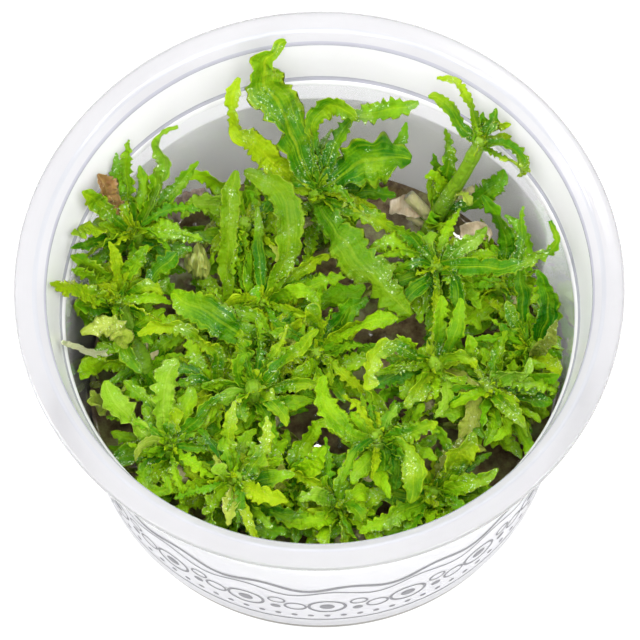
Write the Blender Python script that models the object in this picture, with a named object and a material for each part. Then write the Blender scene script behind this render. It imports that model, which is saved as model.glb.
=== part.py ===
"""Downoi plantlets in tissue culture, in their clear cup with its label."""
import math

import bmesh
import bpy
from mathutils import Matrix, Vector
from mathutils.bvhtree import BVHTree

# Driving sizes of the cup, its label and the gel, in millimetres
FLANGE_RADIUS = 50.0
CUP_HEIGHT = 57.5
FLANGE_LOW = 56.1
LIP_RADIUS = 46.6
LIP_HEIGHT = 56.9
MOUTH_RADIUS = 44.9
MOUTH_HEIGHT = 55.3
STEP_RADIUS = 43.2
STEP_HEIGHT = 46.0
NARROW_RADIUS = 42.4
NARROW_HEIGHT = 45.2
FLOOR_RADIUS = 39.2
FLOOR = 0.9
BASE_RADIUS = 40.0
BASE_ROUND = 1.0
BASE_EDGE = 0.6
STEP_WALL = 0.75
FLARE_HEIGHT = 53.8
SHOULDER_RADIUS = 43.25
SHOULDER_HEIGHT = 44.4
LABEL_LOW = 4.2
LABEL_HIGH = 39.0
LABEL_THICK = 0.2
LABEL_FIRST = 3
LABEL_COLUMNS = 44
GAP = 0.3
GEL_TOP = 15.0
GEL_RIM = 16.0
GEL_FLAT_RADIUS = 36.0
GEL_INSET = 0.4
SEGMENTS = 48
SHORT_EDGE = 0.7
NUDGE = 0.02
NUDGES = 16
FOLD_LIMIT = 0.5
MM = 0.001

# Start empty
for old in list(bpy.data.objects):
    bpy.data.objects.remove(old, do_unlink=True)


def material(name, color, rough):
    mat = bpy.data.materials.new(name)
    mat.use_nodes = True
    bsdf = mat.node_tree.nodes["Principled BSDF"]
    bsdf.inputs["Base Color"].default_value = (*color, 1.0)
    bsdf.inputs["Roughness"].default_value = rough
    mat.diffuse_color = (*color, 1.0)
    return mat


CLEAR_PLASTIC = material("clear_plastic", (0.92, 0.92, 0.95), 0.1)
LABEL_FILM = material("label_film", (0.86, 0.85, 0.89), 0.5)
CULTURE_GEL = material("culture_gel", (0.36, 0.27, 0.2), 0.15)
LEAF = material("leaf", (0.25, 0.5, 0.06), 0.35)
OLD_LEAF = material("old_leaf", (0.45, 0.33, 0.22), 0.5)


def solid(name, verts, faces, mat, unit=MM):
    """Closed mesh object from places in millimetres."""
    mesh = bpy.data.meshes.new(name)
    mesh.from_pydata([tuple(Vector(v) * unit) for v in verts], [], faces)
    mesh.materials.append(mat)
    mesh.update()
    obj = bpy.data.objects.new(name, mesh)
    bpy.context.scene.collection.objects.link(obj)
    return obj


def turned(name, profile, mat, first=0, count=SEGMENTS):
    """Turn a closed profile of (radius, height) round the Z axis, all the way or part of it."""
    whole = count == SEGMENTS
    columns = count if whole else count + 1
    verts = []
    rings = []
    for radius, height in profile:
        if radius == 0.0:
            rings.append([len(verts)] * columns)
            verts.append((0.0, 0.0, height))
            continue
        rings.append(list(range(len(verts), len(verts) + columns)))
        for k in range(columns):
            a = 2.0 * math.pi * (first + k) / SEGMENTS
            verts.append((radius * math.cos(a), radius * math.sin(a), height))
    faces = []
    for low, high in zip(rings, rings[1:] + rings[:1]):
        for k in range(count):
            m = (k + 1) % columns
            face = list(dict.fromkeys((low[k], low[m], high[m], high[k])))
            if len(face) > 2:
                faces.append(face)
    if not whole:
        faces.append([ring[0] for ring in rings])
        faces.append([ring[-1] for ring in reversed(rings)])
    obj = solid(name, verts, faces, mat)
    obj.data.shade_smooth()
    obj.data.set_sharp_from_angle(angle=math.radians(30.0))
    return obj


# Cup: wall, step and flange in one piece
turned("cup", [
    (0.0, 0.0), (BASE_RADIUS - BASE_EDGE, 0.0), (BASE_RADIUS, BASE_ROUND),
    (SHOULDER_RADIUS, SHOULDER_HEIGHT), (STEP_RADIUS + STEP_WALL, STEP_HEIGHT), (MOUTH_RADIUS, FLARE_HEIGHT),
    (FLANGE_RADIUS, FLANGE_LOW), (FLANGE_RADIUS, CUP_HEIGHT), (LIP_RADIUS, LIP_HEIGHT),
    (MOUTH_RADIUS, MOUTH_HEIGHT), (STEP_RADIUS, STEP_HEIGHT), (NARROW_RADIUS, NARROW_HEIGHT),
    (FLOOR_RADIUS, FLOOR), (0.0, FLOOR)], CLEAR_PLASTIC)


def outer_wall(z):
    """Outer radius of the cup's wall below the step."""
    return BASE_RADIUS + (SHOULDER_RADIUS - BASE_RADIUS) * (z - BASE_ROUND) / (SHOULDER_HEIGHT - BASE_ROUND)


# Label: a thin band round the wall, open at the right side
turned("label", [
    (outer_wall(LABEL_LOW) + GAP, LABEL_LOW), (outer_wall(LABEL_LOW) + GAP + LABEL_THICK, LABEL_LOW),
    (outer_wall(LABEL_HIGH) + GAP + LABEL_THICK, LABEL_HIGH), (outer_wall(LABEL_HIGH) + GAP, LABEL_HIGH)],
    LABEL_FILM, LABEL_FIRST, LABEL_COLUMNS)

# Leaf and stem rules, in millimetres and degrees
LEAF_THICK = 0.8
CLEAR = 0.35
WALL_CLEAR = 0.7
LEAF_LIFT = 1.4
LEAF_RIM = 0.3
KEEL = 0.35
KEEL_SHARE = 0.2
VIEW_TILT = math.radians(66.4)
NEAR = Vector((0.0, -math.cos(VIEW_TILT), math.sin(VIEW_TILT)))
WHORLS = ((0.42, 7, 9.0, 2.5), (0.72, 6, 8.5, 3.0))
WHORL_TOP = 31.0
BARE_STALK = "tall_stalk"
WHORL_SHARES = (1.0, 0.85, 0.7, 0.55, 0.4, 0.3)
WHORL_NOTCH = 2.0
WHORL_THICK = 0.5
TURNS = (0.0, 4.0, -4.0, 8.0, -8.0, 13.0, -13.0, 20.0, -20.0)
STEPS = (0.0, 0.6, -0.6, 1.2, -1.2, 1.9, -1.9, 2.7, -2.7, 3.6, -3.6, 4.6, 5.6)
BREADTH = 1.25
GOLDEN = 137.5

# Each plantlet: its name, its stem as (x, y, z, radius) from the gel up, and its leaves.
# A leaf: tint, place along the stem, heading, reach, rise, arch, bend, width, widest place.
# A long or curled leaf: tint, twist, and its middle line as (x, y, z, width).
PLANTS = [
    ("back_rosette", [(0, 26, 15.5, 1.5), (0, 26, 25, 1.4), (0, 25.5, 36, 1.7), (0, 26, 38, 0.9)], [
        ("y", 0, [(0, 26.5, 36, 2.4), (-2.5, 29.5, 42, 4.6), (-5, 34, 49, 7.4), (-8, 37.5, 55, 6.4),
         (-8.5, 39.5, 59, 4.4), (-6.5, 40.5, 61, 1.4), (-5.5, 41.5, 62, 2), (-4.5, 42, 62, 0.6)]),
        ("y", 25, [(-1, 26.5, 36, 2.2), (-6, 29, 41, 3.8), (-9.5, 30.5, 46, 4.2), (-13, 32, 50, 2.8),
         (-14, 34, 54, 2), (-13.5, 36, 56, 2.4), (-12.5, 38, 57, 0.6)]),
        ("y", -20, [(0, 27, 36, 1.8), (0, 30.5, 43, 2), (-0.5, 33.5, 47, 2.4), (2, 35.5, 50, 4),
         (5.5, 34, 51, 2.6), (7, 33, 50, 0.8)]),
        ("g", 10, [(0.5, 27, 36, 2), (3, 31, 43, 3.2), (5.5, 34, 47, 2.6), (9, 35, 49, 3.2),
         (14, 34.5, 51, 3.2), (17.5, 35, 52, 0.8)]),
        ("g", 0.91, 12, 16.5, 6, 4, -30, 8, 0.6),
        ("d", 0.87, 4, 13.5, -2, 1, -25, 3.6, 0.4),
        ("y", 0.91, -26, 15, 0, 2.5, 15, 3, 0.7),
        ("g", 0.91, -56, 28, 2, 5.5, 45, 6.8, 0.6),
        ("y", 0.91, 180, 7.5, 0, 1, 70, 3.2, 0.6),
        ("d", 0.91, 98, 12, 8, 1.5, -55, 2.8, 0.4),
        ("d", 0.82, 36, 19, 8, -2, 70, 2.6, 0.7),
    ]),
    ("tall_stalk", [(18, 20.5, 15.5, 1.7), (19, 22.5, 24, 1.9), (20.8, 24, 31.5, 1.5),
         (25, 26, 43, 1.3), (27.5, 28, 50, 1.2), (28, 28.5, 51, 0.7)], [
        ("y", 0, [(27.5, 28.5, 50, 1.6), (26.5, 31.5, 54, 1.6), (25, 34, 57, 1.6),
         (23, 35.5, 58.5, 1.4), (20.5, 36, 59, 0.5)]),
        ("y", 0, [(27.5, 28.5, 50, 1.8), (24, 30.5, 53, 2.4), (22, 32.5, 56, 2), (20.5, 33.5, 57, 1.8),
         (19, 33.5, 57, 0.6)]),
        ("y", 0.98, 84, 3, 5, 0, 25, 1.4, 0.6),
        ("y", 0.98, 56, 4.5, 5, 0.5, 25, 2, 0.5),
        ("y", 0.98, 8, 5.5, 4, 0.5, -115, 2.2, 0.6),
        ("y", 20, [(28, 28, 49.6, 1.8), (31, 26, 53, 2), (33.5, 24.5, 53, 2), (34.5, 23, 50.5, 1.9),
         (34, 23, 47.5, 0.7)]),
        ("d", 0.51, 12, 10.5, 10, -0.5, 80, 3.6, 0.7),
        ("g", 0.51, 90, 7.5, 14, 0, 35, 2.4, 0.4),
        ("g", 0.48, 154, 4, 7, 2, 150, 2.2, 0.4),
        ("p", 0.54, -46, 5.5, 6, 3.5, -25, 1.9, 0.8),
        ("d", 0.48, 100, 8, 5, -0.5, 20, 2, 0.5),
    ]),
    ("back_left_shoot", [(-12.5, 24, 15.5, 1.3), (-12.5, 24, 28, 1.5), (-12.5, 24.5, 29, 0.8)], [
        ("g", 0.93, 156, 11, 9, 2, 100, 3.4, 0.4),
        ("w", 0.92, -174, 11, 5, 3, 85, 3.2, 0.5),
        ("d", 0.93, 70, 8.5, 6, 0.5, 130, 2.8, 0.5),
        ("d", 0.85, -88, 12.5, 0, 1.5, 25, 2.6, 0.5),
        ("o", 0.85, -148, 8, 0, 1, 115, 2.4, 0.5),
    ]),
    ("upper_left_rosette", [(-32, 17.5, 15.5, 1.4), (-31.5, 18, 27, 1.4), (-31, 18.5, 38, 1.8),
         (-31, 18.5, 40, 0.9)], [
        ("y", 0.92, 172, 8.6, 15, 0.5, 6, 3, 0.8),
        ("d", 0.92, 108, 10.5, 13, 0, -45, 2.4, 0.5),
        ("g", 0.92, 92, 11.5, 13, 0, -25, 2.6, 0.4),
        ("g", 0.92, 86, 9.5, 7, 0.5, 55, 2.4, 0.5),
        ("w", 35, [(-30.5, 19, 38, 1.8), (-27, 24, 43, 3), (-25.5, 27.5, 47, 2.6),
         (-26.5, 29.5, 50, 1.8), (-25.5, 31, 51, 0.9), (-23, 31.5, 52, 0.7)]),
        ("g", 0.92, 40, 14.5, 8, -0.5, -5, 2.8, 0.4),
        ("g", 0.92, 66, 10.5, 7, 0.5, 25, 2.8, 0.4),
        ("y", 0.92, -150, 11.5, 12, 0, 65, 3.2, 0.3),
        ("g", 0.88, -142, 12.5, 12, -1, 40, 2.4, 0.3),
        ("g", 0.92, -10, 11.5, 1, 2.5, -10, 3.8, 0.4),
        ("d", 0.88, -14, 10, 0, 1, 40, 2.6, 0.5),
        ("d", 0.88, 38, 8.5, 2, 0, -20, 3.4, 0.6),
        ("b", 0.88, 140, 8, 14.5, -0.5, 12, 3.4, 0.8),
    ]),
    ("left_rosette", [(-29.5, -2.5, 15.5, 1.8), (-30, -2, 25, 2.2), (-32, 2.5, 29, 1.8),
         (-34, 7, 35, 1.8), (-34, 7, 37, 0.9)], [
        ("y", 0.91, -150, 11.5, 21.5, -1, 55, 3, 0.3),
        ("y", 0.92, 162, 8, 13, 0, 85, 3.4, 0.4),
        ("g", 0.91, 178, 7.5, 12.5, -0.5, 95, 2.4, 0.5),
        ("y", 0.92, 102, 7, 10, 0.5, 45, 2.2, 0.5),
        ("g", 0.92, 48, 8.5, 9, 0.5, -35, 3, 0.4),
        ("g", 0.90, 34, 12, 6.5, 1, 15, 3.2, 0.8),
        ("y", 0.90, 0, 7.5, 3.5, 2.5, -45, 2.8, 0.5),
        ("d", 0.90, -158, 7.5, 7.5, -1, 10, 3, 0.5),
        ("d", 0.86, -154, 5, 1, -1.5, 20, 3.2, 0.4),
        ("g", 0.89, -14, 4.5, -1.5, 0.5, -5, 2.6, 0.6),
        ("p", 0, [(-32, 2, 30, 2), (-34, -1, 33, 2.8), (-33, 0, 37, 3.2), (-35, 1, 40, 3.2),
         (-37.5, 0, 41, 2.6), (-40, -1, 41, 0.9)]),
        ("g", 0.37, 24, 8, 6, 2, -60, 3, 0.5),
        ("g", 0.40, -142, 12.5, 13.5, 1.5, 75, 3.4, 0.7),
        ("p", 0.33, -132, 15.5, 17, -1, -15, 3.8, 0.7),
        ("r", 0, [(-32.5, 2, 29, 1.2), (-37.5, -3, 37, 1.1), (-40.5, -5, 45, 1), (-43.5, -7, 51, 0.8)]),
    ]),
    ("mid_left_shoot", [(-16, 8, 15.5, 1.2), (-15.5, 8.5, 24, 1.5), (-15.5, 8.5, 25, 0.9)], [
        ("y", 0.90, 84, 19.5, 18, 3.5, -15, 3.4, 0.7),
        ("d", 0.89, 46, 7, 3, 0.5, 50, 2.6, 0.4),
    ]),
    ("glossy_leaf_shoot", [(-7.5, 0.5, 15.5, 1.2), (-7.5, 1, 30, 1.6), (-7.5, 1, 31, 0.9)], [
        ("g", 0.94, 158, 18.5, 8, 4.5, -60, 5.8, 0.5),
        ("p", 0.94, -24, 5, 1, 1.5, -35, 2.6, 0.5),
        ("d", 0.87, -178, 8.5, 2, 1, -30, 3, 0.5),
    ]),
    ("centre_shoot", [(-10, 9, 15.5, 1.2), (-9.5, 9.5, 27, 1.6), (-9.5, 9.5, 28.5, 0.9)], [
        ("y", 0.96, 100, 19.5, 12, 5.5, 125, 5, 0.6),
        ("g", 0.96, 100, 14.5, 8, 1.5, -10, 2.2, 0.4),
        ("p", 0.96, 86, 8.5, 6, 1, 150, 2.2, 0.4),
        ("y", 0.96, 26, 13, 6, 2, -15, 3, 0.5),
        ("g", 0.96, 10, 14.5, 6, 0.5, 10, 3, 0.4),
        ("d", 0.88, 8, 17.5, 2, 0.5, 35, 4.2, 0.7),
        ("g", 0.88, -26, 7, 1, 1.5, 60, 2.6, 0.5),
    ]),
    ("centre_front_shoot", [(-0.5, -2, 15.5, 1.3), (-0.5, -1.5, 31, 1.7), (-0.5, -1.5, 32.5, 0.9)], [
        ("y", 0.97, 130, 4, 10, 2, 120, 3.8, 0.8),
        ("g", 0.91, -4, 7.5, 5, 1.5, 25, 2, 0.4),
        ("g", 0.97, 12, 14, 6, 2.5, -20, 3.2, 0.7),
        ("g", 0.91, -132, 7.5, 3, 1.5, -70, 3, 0.6),
        ("d", 0.91, 46, 13, 1, 0.5, -40, 3.8, 0.5),
    ]),
    ("right_centre_shoot", [(20.5, 11.5, 15.5, 1.3), (20, 12, 35, 1.7), (20, 12, 36.5, 0.9)], [
        ("w", 0.98, 22, 9, 8, 1, 20, 3, 0.5),
        ("y", 0, [(20.5, 11.5, 36, 2.2), (25, 9.5, 41, 3.2), (29.5, 8, 43, 3), (33.5, 8, 45, 2.4),
         (37, 8, 48, 1.8), (39.5, 9, 51, 1.3), (38.5, 12, 53, 0.7)]),
        ("g", 0.93, -128, 9.5, 3, 1.5, -20, 3, 0.6),
        ("g", 0.93, 170, 11.5, 4, 2.5, 45, 3, 0.4),
        ("y", 0.98, 148, 10, 6, 2, 20, 2.6, 0.4),
        ("g", 0.93, -74, 11, 1, 3, -60, 3.4, 0.5),
        ("g", 0.93, -104, 8.5, 0, 1, 0, 2.8, 0.6),
        ("w", 0.98, 80, 4, 5, 0.5, -150, 2.2, 0.5),
    ]),
    ("right_mid_rosette", [(19, -7, 15.5, 1.4), (19, -6.5, 35, 1.8), (18.5, -6.5, 37, 1)], [
        ("y", 0.95, -20, 7.5, 4, 3, -45, 2.2, 0.5),
        ("y", 0.95, -122, 9.5, 2, 2, -25, 3.4, 0.5),
        ("y", 0.91, -96, 6.5, 2, 1, 30, 2.4, 0.7),
        ("g", 0.95, 80, 9.5, 8, 1, 0, 3.2, 0.5),
        ("g", 0.95, 66, 10.5, 7, 1, 75, 2.8, 0.5),
        ("d", 0.91, -158, 11.5, 2, 2, 20, 3.4, 0.5),
        ("w", 0.91, -96, 9.5, 1, 1.5, -100, 2.6, 0.4),
        ("g", 0.95, 150, 6.5, 5, 0, 10, 2.8, 0.6),
        ("y", 0, [(18.5, -6, 36, 1.8), (14, -6, 42, 2.4), (10, -7, 45, 2.8), (8, -10, 45, 2.6),
         (7.5, -13, 44, 2), (9.5, -12.5, 44, 0.7)]),
        ("o", 0.86, -76, 12.5, -2, 2, -130, 3.4, 0.7),
    ]),
    ("right_back_shoot", [(31.5, 12, 15.5, 1.3), (31, 12, 26, 1.6), (31, 12.5, 27.5, 0.9)], [
        ("d", 0.88, 108, 11.5, 14, 1, 85, 3.6, 0.4),
        ("d", 0.87, -102, 6.5, 0, 1, 85, 3.2, 0.5),
        ("d", 0.88, 90, 9.5, 10, 1.5, 150, 3, 0.3),
        ("g", 0.88, 150, 7.5, 5, 1, 35, 3, 0.6),
    ]),
    ("right_wall_shoot", [(36, -2, 15.5, 1.4), (35.5, -1.5, 30, 1.7), (35, -1.5, 32, 1)], [
        ("d", 0.88, 90, 8, 16, 1, 115, 3.8, 0.4),
        ("o", 0.88, -8, 4.5, 16, -0.5, 150, 2.4, 0.5),
        ("g", 0.88, 92, 19.5, 16, 1, -25, 2.4, 0.3),
        ("y", 0.88, 154, 5.5, 7, 0.5, -45, 2.4, 0.6),
        ("y", 0.88, 124, 7, 8, 0.5, -15, 2.2, 0.7),
        ("y", 0.88, -60, 9, 7, 0.5, -20, 2.6, 0.5),
    ]),
    ("right_front_rosette", [(29, -10.5, 15.5, 1.4), (28, -10, 34, 1.7), (28, -10, 35.5, 1)], [
        ("y", 0.92, -56, 10.5, 4, 2.5, 15, 2.6, 0.5),
        ("w", 0, [(28.5, -9.5, 34, 2), (30, -9, 37, 3.2), (32, -9, 39, 2.4), (34, -10, 40, 1.8),
         (35, -7.5, 41, 0.7)]),
        ("d", 0.87, -94, 8, -1, 1.5, 55, 3.6, 0.5),
        ("g", 0.93, 178, 7, 1, 1.5, 50, 3.2, 0.5),
        ("g", 0.93, 114, 8, 6, 0.5, -5, 2.6, 0.6),
        ("y", 0.93, 68, 8.5, 6, 0.5, -5, 2.4, 0.6),
        ("d", 0.87, -20, 11.5, 3, -0.5, -20, 4, 0.4),
        ("d", 0.87, 0, 11.5, 6, -1, -15, 3.8, 0.5),
        ("g", 0.87, -92, 10, 2, 1, -100, 2.2, 0.6),
        ("d", 0.82, -46, 10, 0, 0, 15, 3.4, 0.7),
        ("g", 0.75, -62, 14, 2, 1, -20, 3.4, 0.5),
    ]),
    ("front_right_rosette", [(9.5, -20, 15.5, 1.5), (9, -19, 34, 1.9), (9, -19, 36, 1)], [
        ("y", 0.95, 0, 10, 7, 1, 25, 3, 0.4),
        ("y", 0.95, -70, 13.5, 2, 3, -90, 4, 0.7),
        ("d", 0.90, -92, 6.5, -2, 1, -70, 3.8, 0.5),
        ("g", 0.95, 130, 12.5, 7, 2, -130, 4, 0.6),
        ("w", 0.95, 52, 5.5, 4, 1, 0, 1.8, 0.5),
        ("g", 0.95, 136, 6, 2, 1, -10, 2.4, 0.5),
        ("g", 0.90, -126, 8, -2, 1, -35, 3, 0.5),
        ("d", 0.85, -76, 8.5, -1, 1.5, -90, 3.6, 0.6),
    ]),
    ("front_right_low_shoot", [(19, -26.5, 15.5, 1.4), (18.5, -26, 27, 1.8), (18.5, -25.5, 28.5, 1)], [
        ("y", 0.96, 40, 8.5, 12, 1.5, 10, 5, 0.4),
        ("g", 0.96, 6, 10.5, 7, 1, 45, 3, 0.4),
        ("g", 0.88, -150, 15, 3, 2.5, -30, 3.4, 0.4),
        ("y", 0.96, -74, 4, 3, 1, 100, 1.8, 0.7),
        ("g", 0.96, 96, 10, 7, 1, 90, 2.4, 0.4),
        ("d", 0.88, -162, 7, -1, 0.5, 30, 3.6, 0.5),
        ("o", 0.96, 24, 10, 6, 2, -120, 2.2, 0.6),
    ]),
    ("front_low_shoot", [(2.5, -28.5, 15.5, 1.3), (2.5, -28, 27, 1.6), (2.5, -28, 28.5, 0.9)], [
        ("w", 0.96, -172, 7, 5, 3, 25, 2.6, 0.5),
        ("g", 0.96, 66, 6, 6, 1, -30, 2.8, 0.5),
        ("y", 0.96, -48, 5.5, 3, 2.5, -25, 2.6, 0.7),
        ("g", 0.88, -152, 7.5, 2, 1, -35, 3, 0.6),
        ("d", 0.81, -132, 5.5, 0, 1, -90, 3, 0.5),
    ]),
    ("front_olive_shoot", [(-5.5, -24.5, 15.5, 1.2), (-5.5, -23.5, 23, 1.5),
         (-5.5, -23.5, 24.5, 0.9)], [
        ("g", 0.94, 34, 7, 10, 1.5, 10, 3.6, 0.5),
        ("o", 0.94, 100, 3.5, 4, 1, -150, 3, 0.5),
        ("d", 0.83, 34, 6, 4, 1, 125, 3.8, 0.5),
        ("g", 0.95, 88, 7, 6, 0.5, -150, 3, 0.6),
        ("g", 0.9, 60, 12, 6, 1.5, -40, 3.4, 0.5),
    ]),
    ("front_mid_rosette", [(-12, -10, 15.5, 1.4), (-11.5, -9.5, 34, 1.7), (-11.5, -9, 35.5, 0.9)], [
        ("y", 0.93, 28, 12.5, 12, 1, 10, 3, 0.4),
        ("y", 0.92, -12, 12.5, 5, 1.5, -35, 2.4, 0.4),
        ("g", 0.92, 90, 5, 6, 1, -150, 2.6, 0.4),
        ("w", 0.92, -160, 6.5, 2, 1, -10, 2.8, 0.6),
        ("y", 0.92, -54, 9, 2, 2, -30, 2.8, 0.4),
        ("y", 0.92, -96, 6.5, 2, 1, 85, 2.6, 0.6),
        ("g", 0.87, -8, 8, 1, 0.5, 75, 3, 0.6),
        ("w", 0.93, 110, 5.5, 1, 0.5, 150, 3, 0.5),
    ]),
    ("front_rosette", [(-15.5, -26.5, 15.5, 1.4), (-15, -25.5, 33, 1.8), (-15, -25.5, 35, 1)], [
        ("y", 0.95, 86, 11.5, 7, 1, -30, 2.6, 0.4),
        ("y", 0.95, 60, 10.5, 7, 1, 100, 2.6, 0.4),
        ("g", 0.90, 76, 6.5, 5, 0.5, 150, 2.6, 0.4),
        ("p", 0.95, -96, 9, 3, 0.5, 0, 2.4, 0.5),
        ("g", 0.95, -130, 8, 1, 0.5, 20, 3.2, 0.5),
        ("y", 0.95, -30, 10.5, 4, 1.5, 30, 3, 0.5),
        ("w", 0.95, -178, 3.5, 4, 1.5, 30, 2.2, 0.6),
        ("g", 0.85, -22, 13.5, 0, 1.5, 65, 3.8, 0.4),
        ("p", 0.95, 124, 5, 2, 1, -35, 2, 0.5),
        ("d", 0.79, -40, 11.5, -1, -0.5, 55, 3.6, 0.6),
    ]),
    ("front_left_mid_shoot", [(-18, -7.5, 15.5, 1.3), (-17.5, -7, 30, 1.7), (-17.5, -7, 31.5, 0.9)], [
        ("y", 0, [(-17.5, -6.5, 30, 1.8), (-17.5, -4, 37, 2.4), (-20, -2.5, 41, 2.4),
         (-23.5, -1, 43, 2.2), (-27.5, -1, 42, 2), (-30.5, -1.5, 41, 0.7)]),
        ("g", 0.91, 110, 10, 6, 2, -60, 2.8, 0.4),
        ("g", 0.91, 64, 5.5, 5, 0.5, 95, 2.8, 0.5),
        ("g", 0.90, -176, 5.5, 5, 0.5, -60, 2.6, 0.5),
        ("y", 0.90, -150, 5.5, 3, 0, -135, 3, 0.6),
    ]),
    ("front_left_rosette", [(-26, -20, 15.5, 1.5), (-25.5, -18.5, 32, 1.9), (-25.5, -18.5, 34, 1)], [
        ("y", 0.95, 32, 11.5, 7, 1.5, -10, 2.6, 0.4),
        ("y", 0.95, 84, 4.5, 6, 0.5, 35, 2.6, 0.6),
        ("w", 0.95, 82, 12.5, 8, 1.5, -50, 4.2, 0.7),
        ("w", 0.94, 136, 14, 7, 1.5, -70, 4, 0.7),
        ("g", 0.94, 128, 12.5, 5, 0.5, 35, 3.2, 0.4),
        ("y", 0.94, -54, 9, 0, 1, 0, 2.2, 0.5),
        ("g", 0.94, -176, 7, 4, 0, -60, 2, 0.0),
        ("p", 0.94, -142, 7, 3, 2.5, 90, 1.6, 0.0),
        ("d", 0.89, 10, 9.5, -1, 2, -65, 3, 0.4),
        ("g", 0, [(-26, -19, 31, 1.8), (-30, -23, 34, 2.4), (-29, -27, 35, 2.2), (-26, -27.5, 36, 1.8),
         (-26, -25.5, 37, 0.7)]),
        ("g", 0.95, 68, 10, 3, 0.5, 5, 3.6, 0.6),
        ("d", 0.80, -165, 12, 2, 1, 30, 3.4, 0.5),
    ]),
]

# Old leaf pieces that lie loose: name, thickness, middle line as (x, y, z, width)
LOOSE = [
    ("brown_strap", 1.0, [(-19, 28.5, 33, 1.6), (-22, 27.5, 32, 3), (-24.5, 25.5, 30, 3.2),
     (-25, 24.5, 29, 1.8)]),
    ("olive_clump", 3.0, [(-23, 16.5, 30, 3.4), (-20.5, 16, 31, 5.4), (-18.5, 15.5, 30, 3)]),
    ("tan_chip_back", 0.7, [(12.5, 26, 30, 2.8), (15, 25.5, 30.5, 5.2), (17.8, 25.5, 30, 3.4)]),
    ("tan_chip_mid", 0.7, [(15.5, 18, 30, 2.6), (17.5, 17.5, 30.5, 4.2), (19.5, 16.5, 30, 2.4)]),
    ("tan_chip_right", 0.7, [(24.5, 21, 30, 2.4), (27, 20.5, 31, 4), (29.5, 19.5, 30, 2)]),
]


def bore(z):
    """Inner radius of the cup at a height."""
    knots = [(FLOOR, FLOOR_RADIUS), (NARROW_HEIGHT, NARROW_RADIUS), (STEP_HEIGHT, STEP_RADIUS),
             (MOUTH_HEIGHT, MOUTH_RADIUS), (CUP_HEIGHT, MOUTH_RADIUS + 2.0)]
    for (z0, r0), (z1, r1) in zip(knots, knots[1:]):
        if z <= z1:
            return r0 + (r1 - r0) * max(z - z0, 0.0) / (z1 - z0)
    return knots[-1][1]


def along(route, place):
    """Point and width at a share of a route's length."""
    run = [0.0]
    for a, b in zip(route, route[1:]):
        run.append(run[-1] + (Vector(b[:3]) - Vector(a[:3])).length)
    s = run[-1] * place
    i = 0
    while i < len(route) - 2 and s > run[i + 1]:
        i += 1
    f = (s - run[i]) / (run[i + 1] - run[i])
    a = Vector(route[i][:3])
    b = Vector(route[i + 1][:3])
    return a.lerp(b, f), route[i][3] + (route[i + 1][3] - route[i][3]) * f


def smooth_route(route, count):
    """Stations of (place, width) on a smooth curve through a leaf's middle line."""
    pts = [Vector(p[:3]) for p in route]
    pts = [pts[0] * 2.0 - pts[1]] + pts + [pts[-1] * 2.0 - pts[-2]]
    out = []
    last = len(route) - 1
    for k in range(count + 1):
        s = last * k / count
        i = min(int(s), last - 1)
        f = s - i
        p0, p1, p2, p3 = pts[i:i + 4]
        at = p1 * 2.0 + (p2 - p0) * f + (p0 * 2.0 - p1 * 5.0 + p2 * 4.0 - p3) * f * f
        at = (at + (p1 * 3.0 - p0 - p2 * 3.0 + p3) * f ** 3) * 0.5
        out.append((at, route[i][3] + (route[i + 1][3] - route[i][3]) * f))
    return out


def leaf_width(t, widest):
    """Share of a leaf's full width at a place along it."""
    if t < widest:
        return 0.3 + 0.7 * math.sin(0.5 * math.pi * t / widest)
    return 0.14 + 0.86 * math.cos(0.5 * math.pi * (t - widest) / (1.0 - widest)) ** 0.8


def arc_route(root, heading, reach, rise, arch, bend, width, widest, count):
    """Stations of (place, width) of a leaf that leaves its root in an arc."""
    turn = math.radians(bend) if abs(bend) > 1 else math.radians(1.0)
    start = math.radians(heading) - turn * 0.5
    radius = reach / (2.0 * math.sin(turn * 0.5))
    out = []
    for k in range(count + 1):
        t = k / count
        x = radius * (math.sin(start + turn * t) - math.sin(start))
        y = radius * (math.cos(start) - math.cos(start + turn * t))
        z = rise * t + arch * 4.0 * t * (1.0 - t)
        out.append((root + Vector((x, y, z)), width * leaf_width(t, widest)))
    return out


def leaf_route(stem, leaf, count):
    """Stations of any leaf in the plan, and its twist."""
    if len(leaf) == 3:
        return [(at, width * BREADTH) for at, width in smooth_route(leaf[2], count)], leaf[1]
    tint, place, heading, reach, rise, arch, bend, width, widest = leaf
    root, radius = along(stem, place)
    start = math.radians(heading - bend * 0.5)
    out = Vector((math.cos(start), math.sin(start), 0.0)) * (radius * 0.55)
    line = arc_route(root + out, heading, reach - radius * 0.5, rise, arch, bend,
                     width * BREADTH, max(widest, 0.3), count)
    return line, 0.0


def leaf_count(leaf):
    """Few stations for a short leaf, more for a long or curled one."""
    if len(leaf) == 3:
        return len(leaf[2]) - 1
    return 3 if leaf[3] < 13.0 and abs(leaf[6]) < 100 else 4


def frames(line, twist):
    """Side and face directions along a line, the face turned to the front view."""
    out = []
    last = Vector((1.0, 0.0, 0.0))
    for k in range(len(line)):
        t = (line[min(k + 1, len(line) - 1)][0] - line[max(k - 1, 0)][0]).normalized()
        side = t.cross(NEAR)
        if side.length < 0.25:
            side = last - t * last.dot(t)
        side.normalize()
        if k and side.dot(last) < 0.0:
            side = -side
        last = side
        face = side.cross(t)
        c = math.cos(math.radians(twist))
        s = math.sin(math.radians(twist))
        out.append((side * c + face * s, face * c - side * s))
    return out


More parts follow.
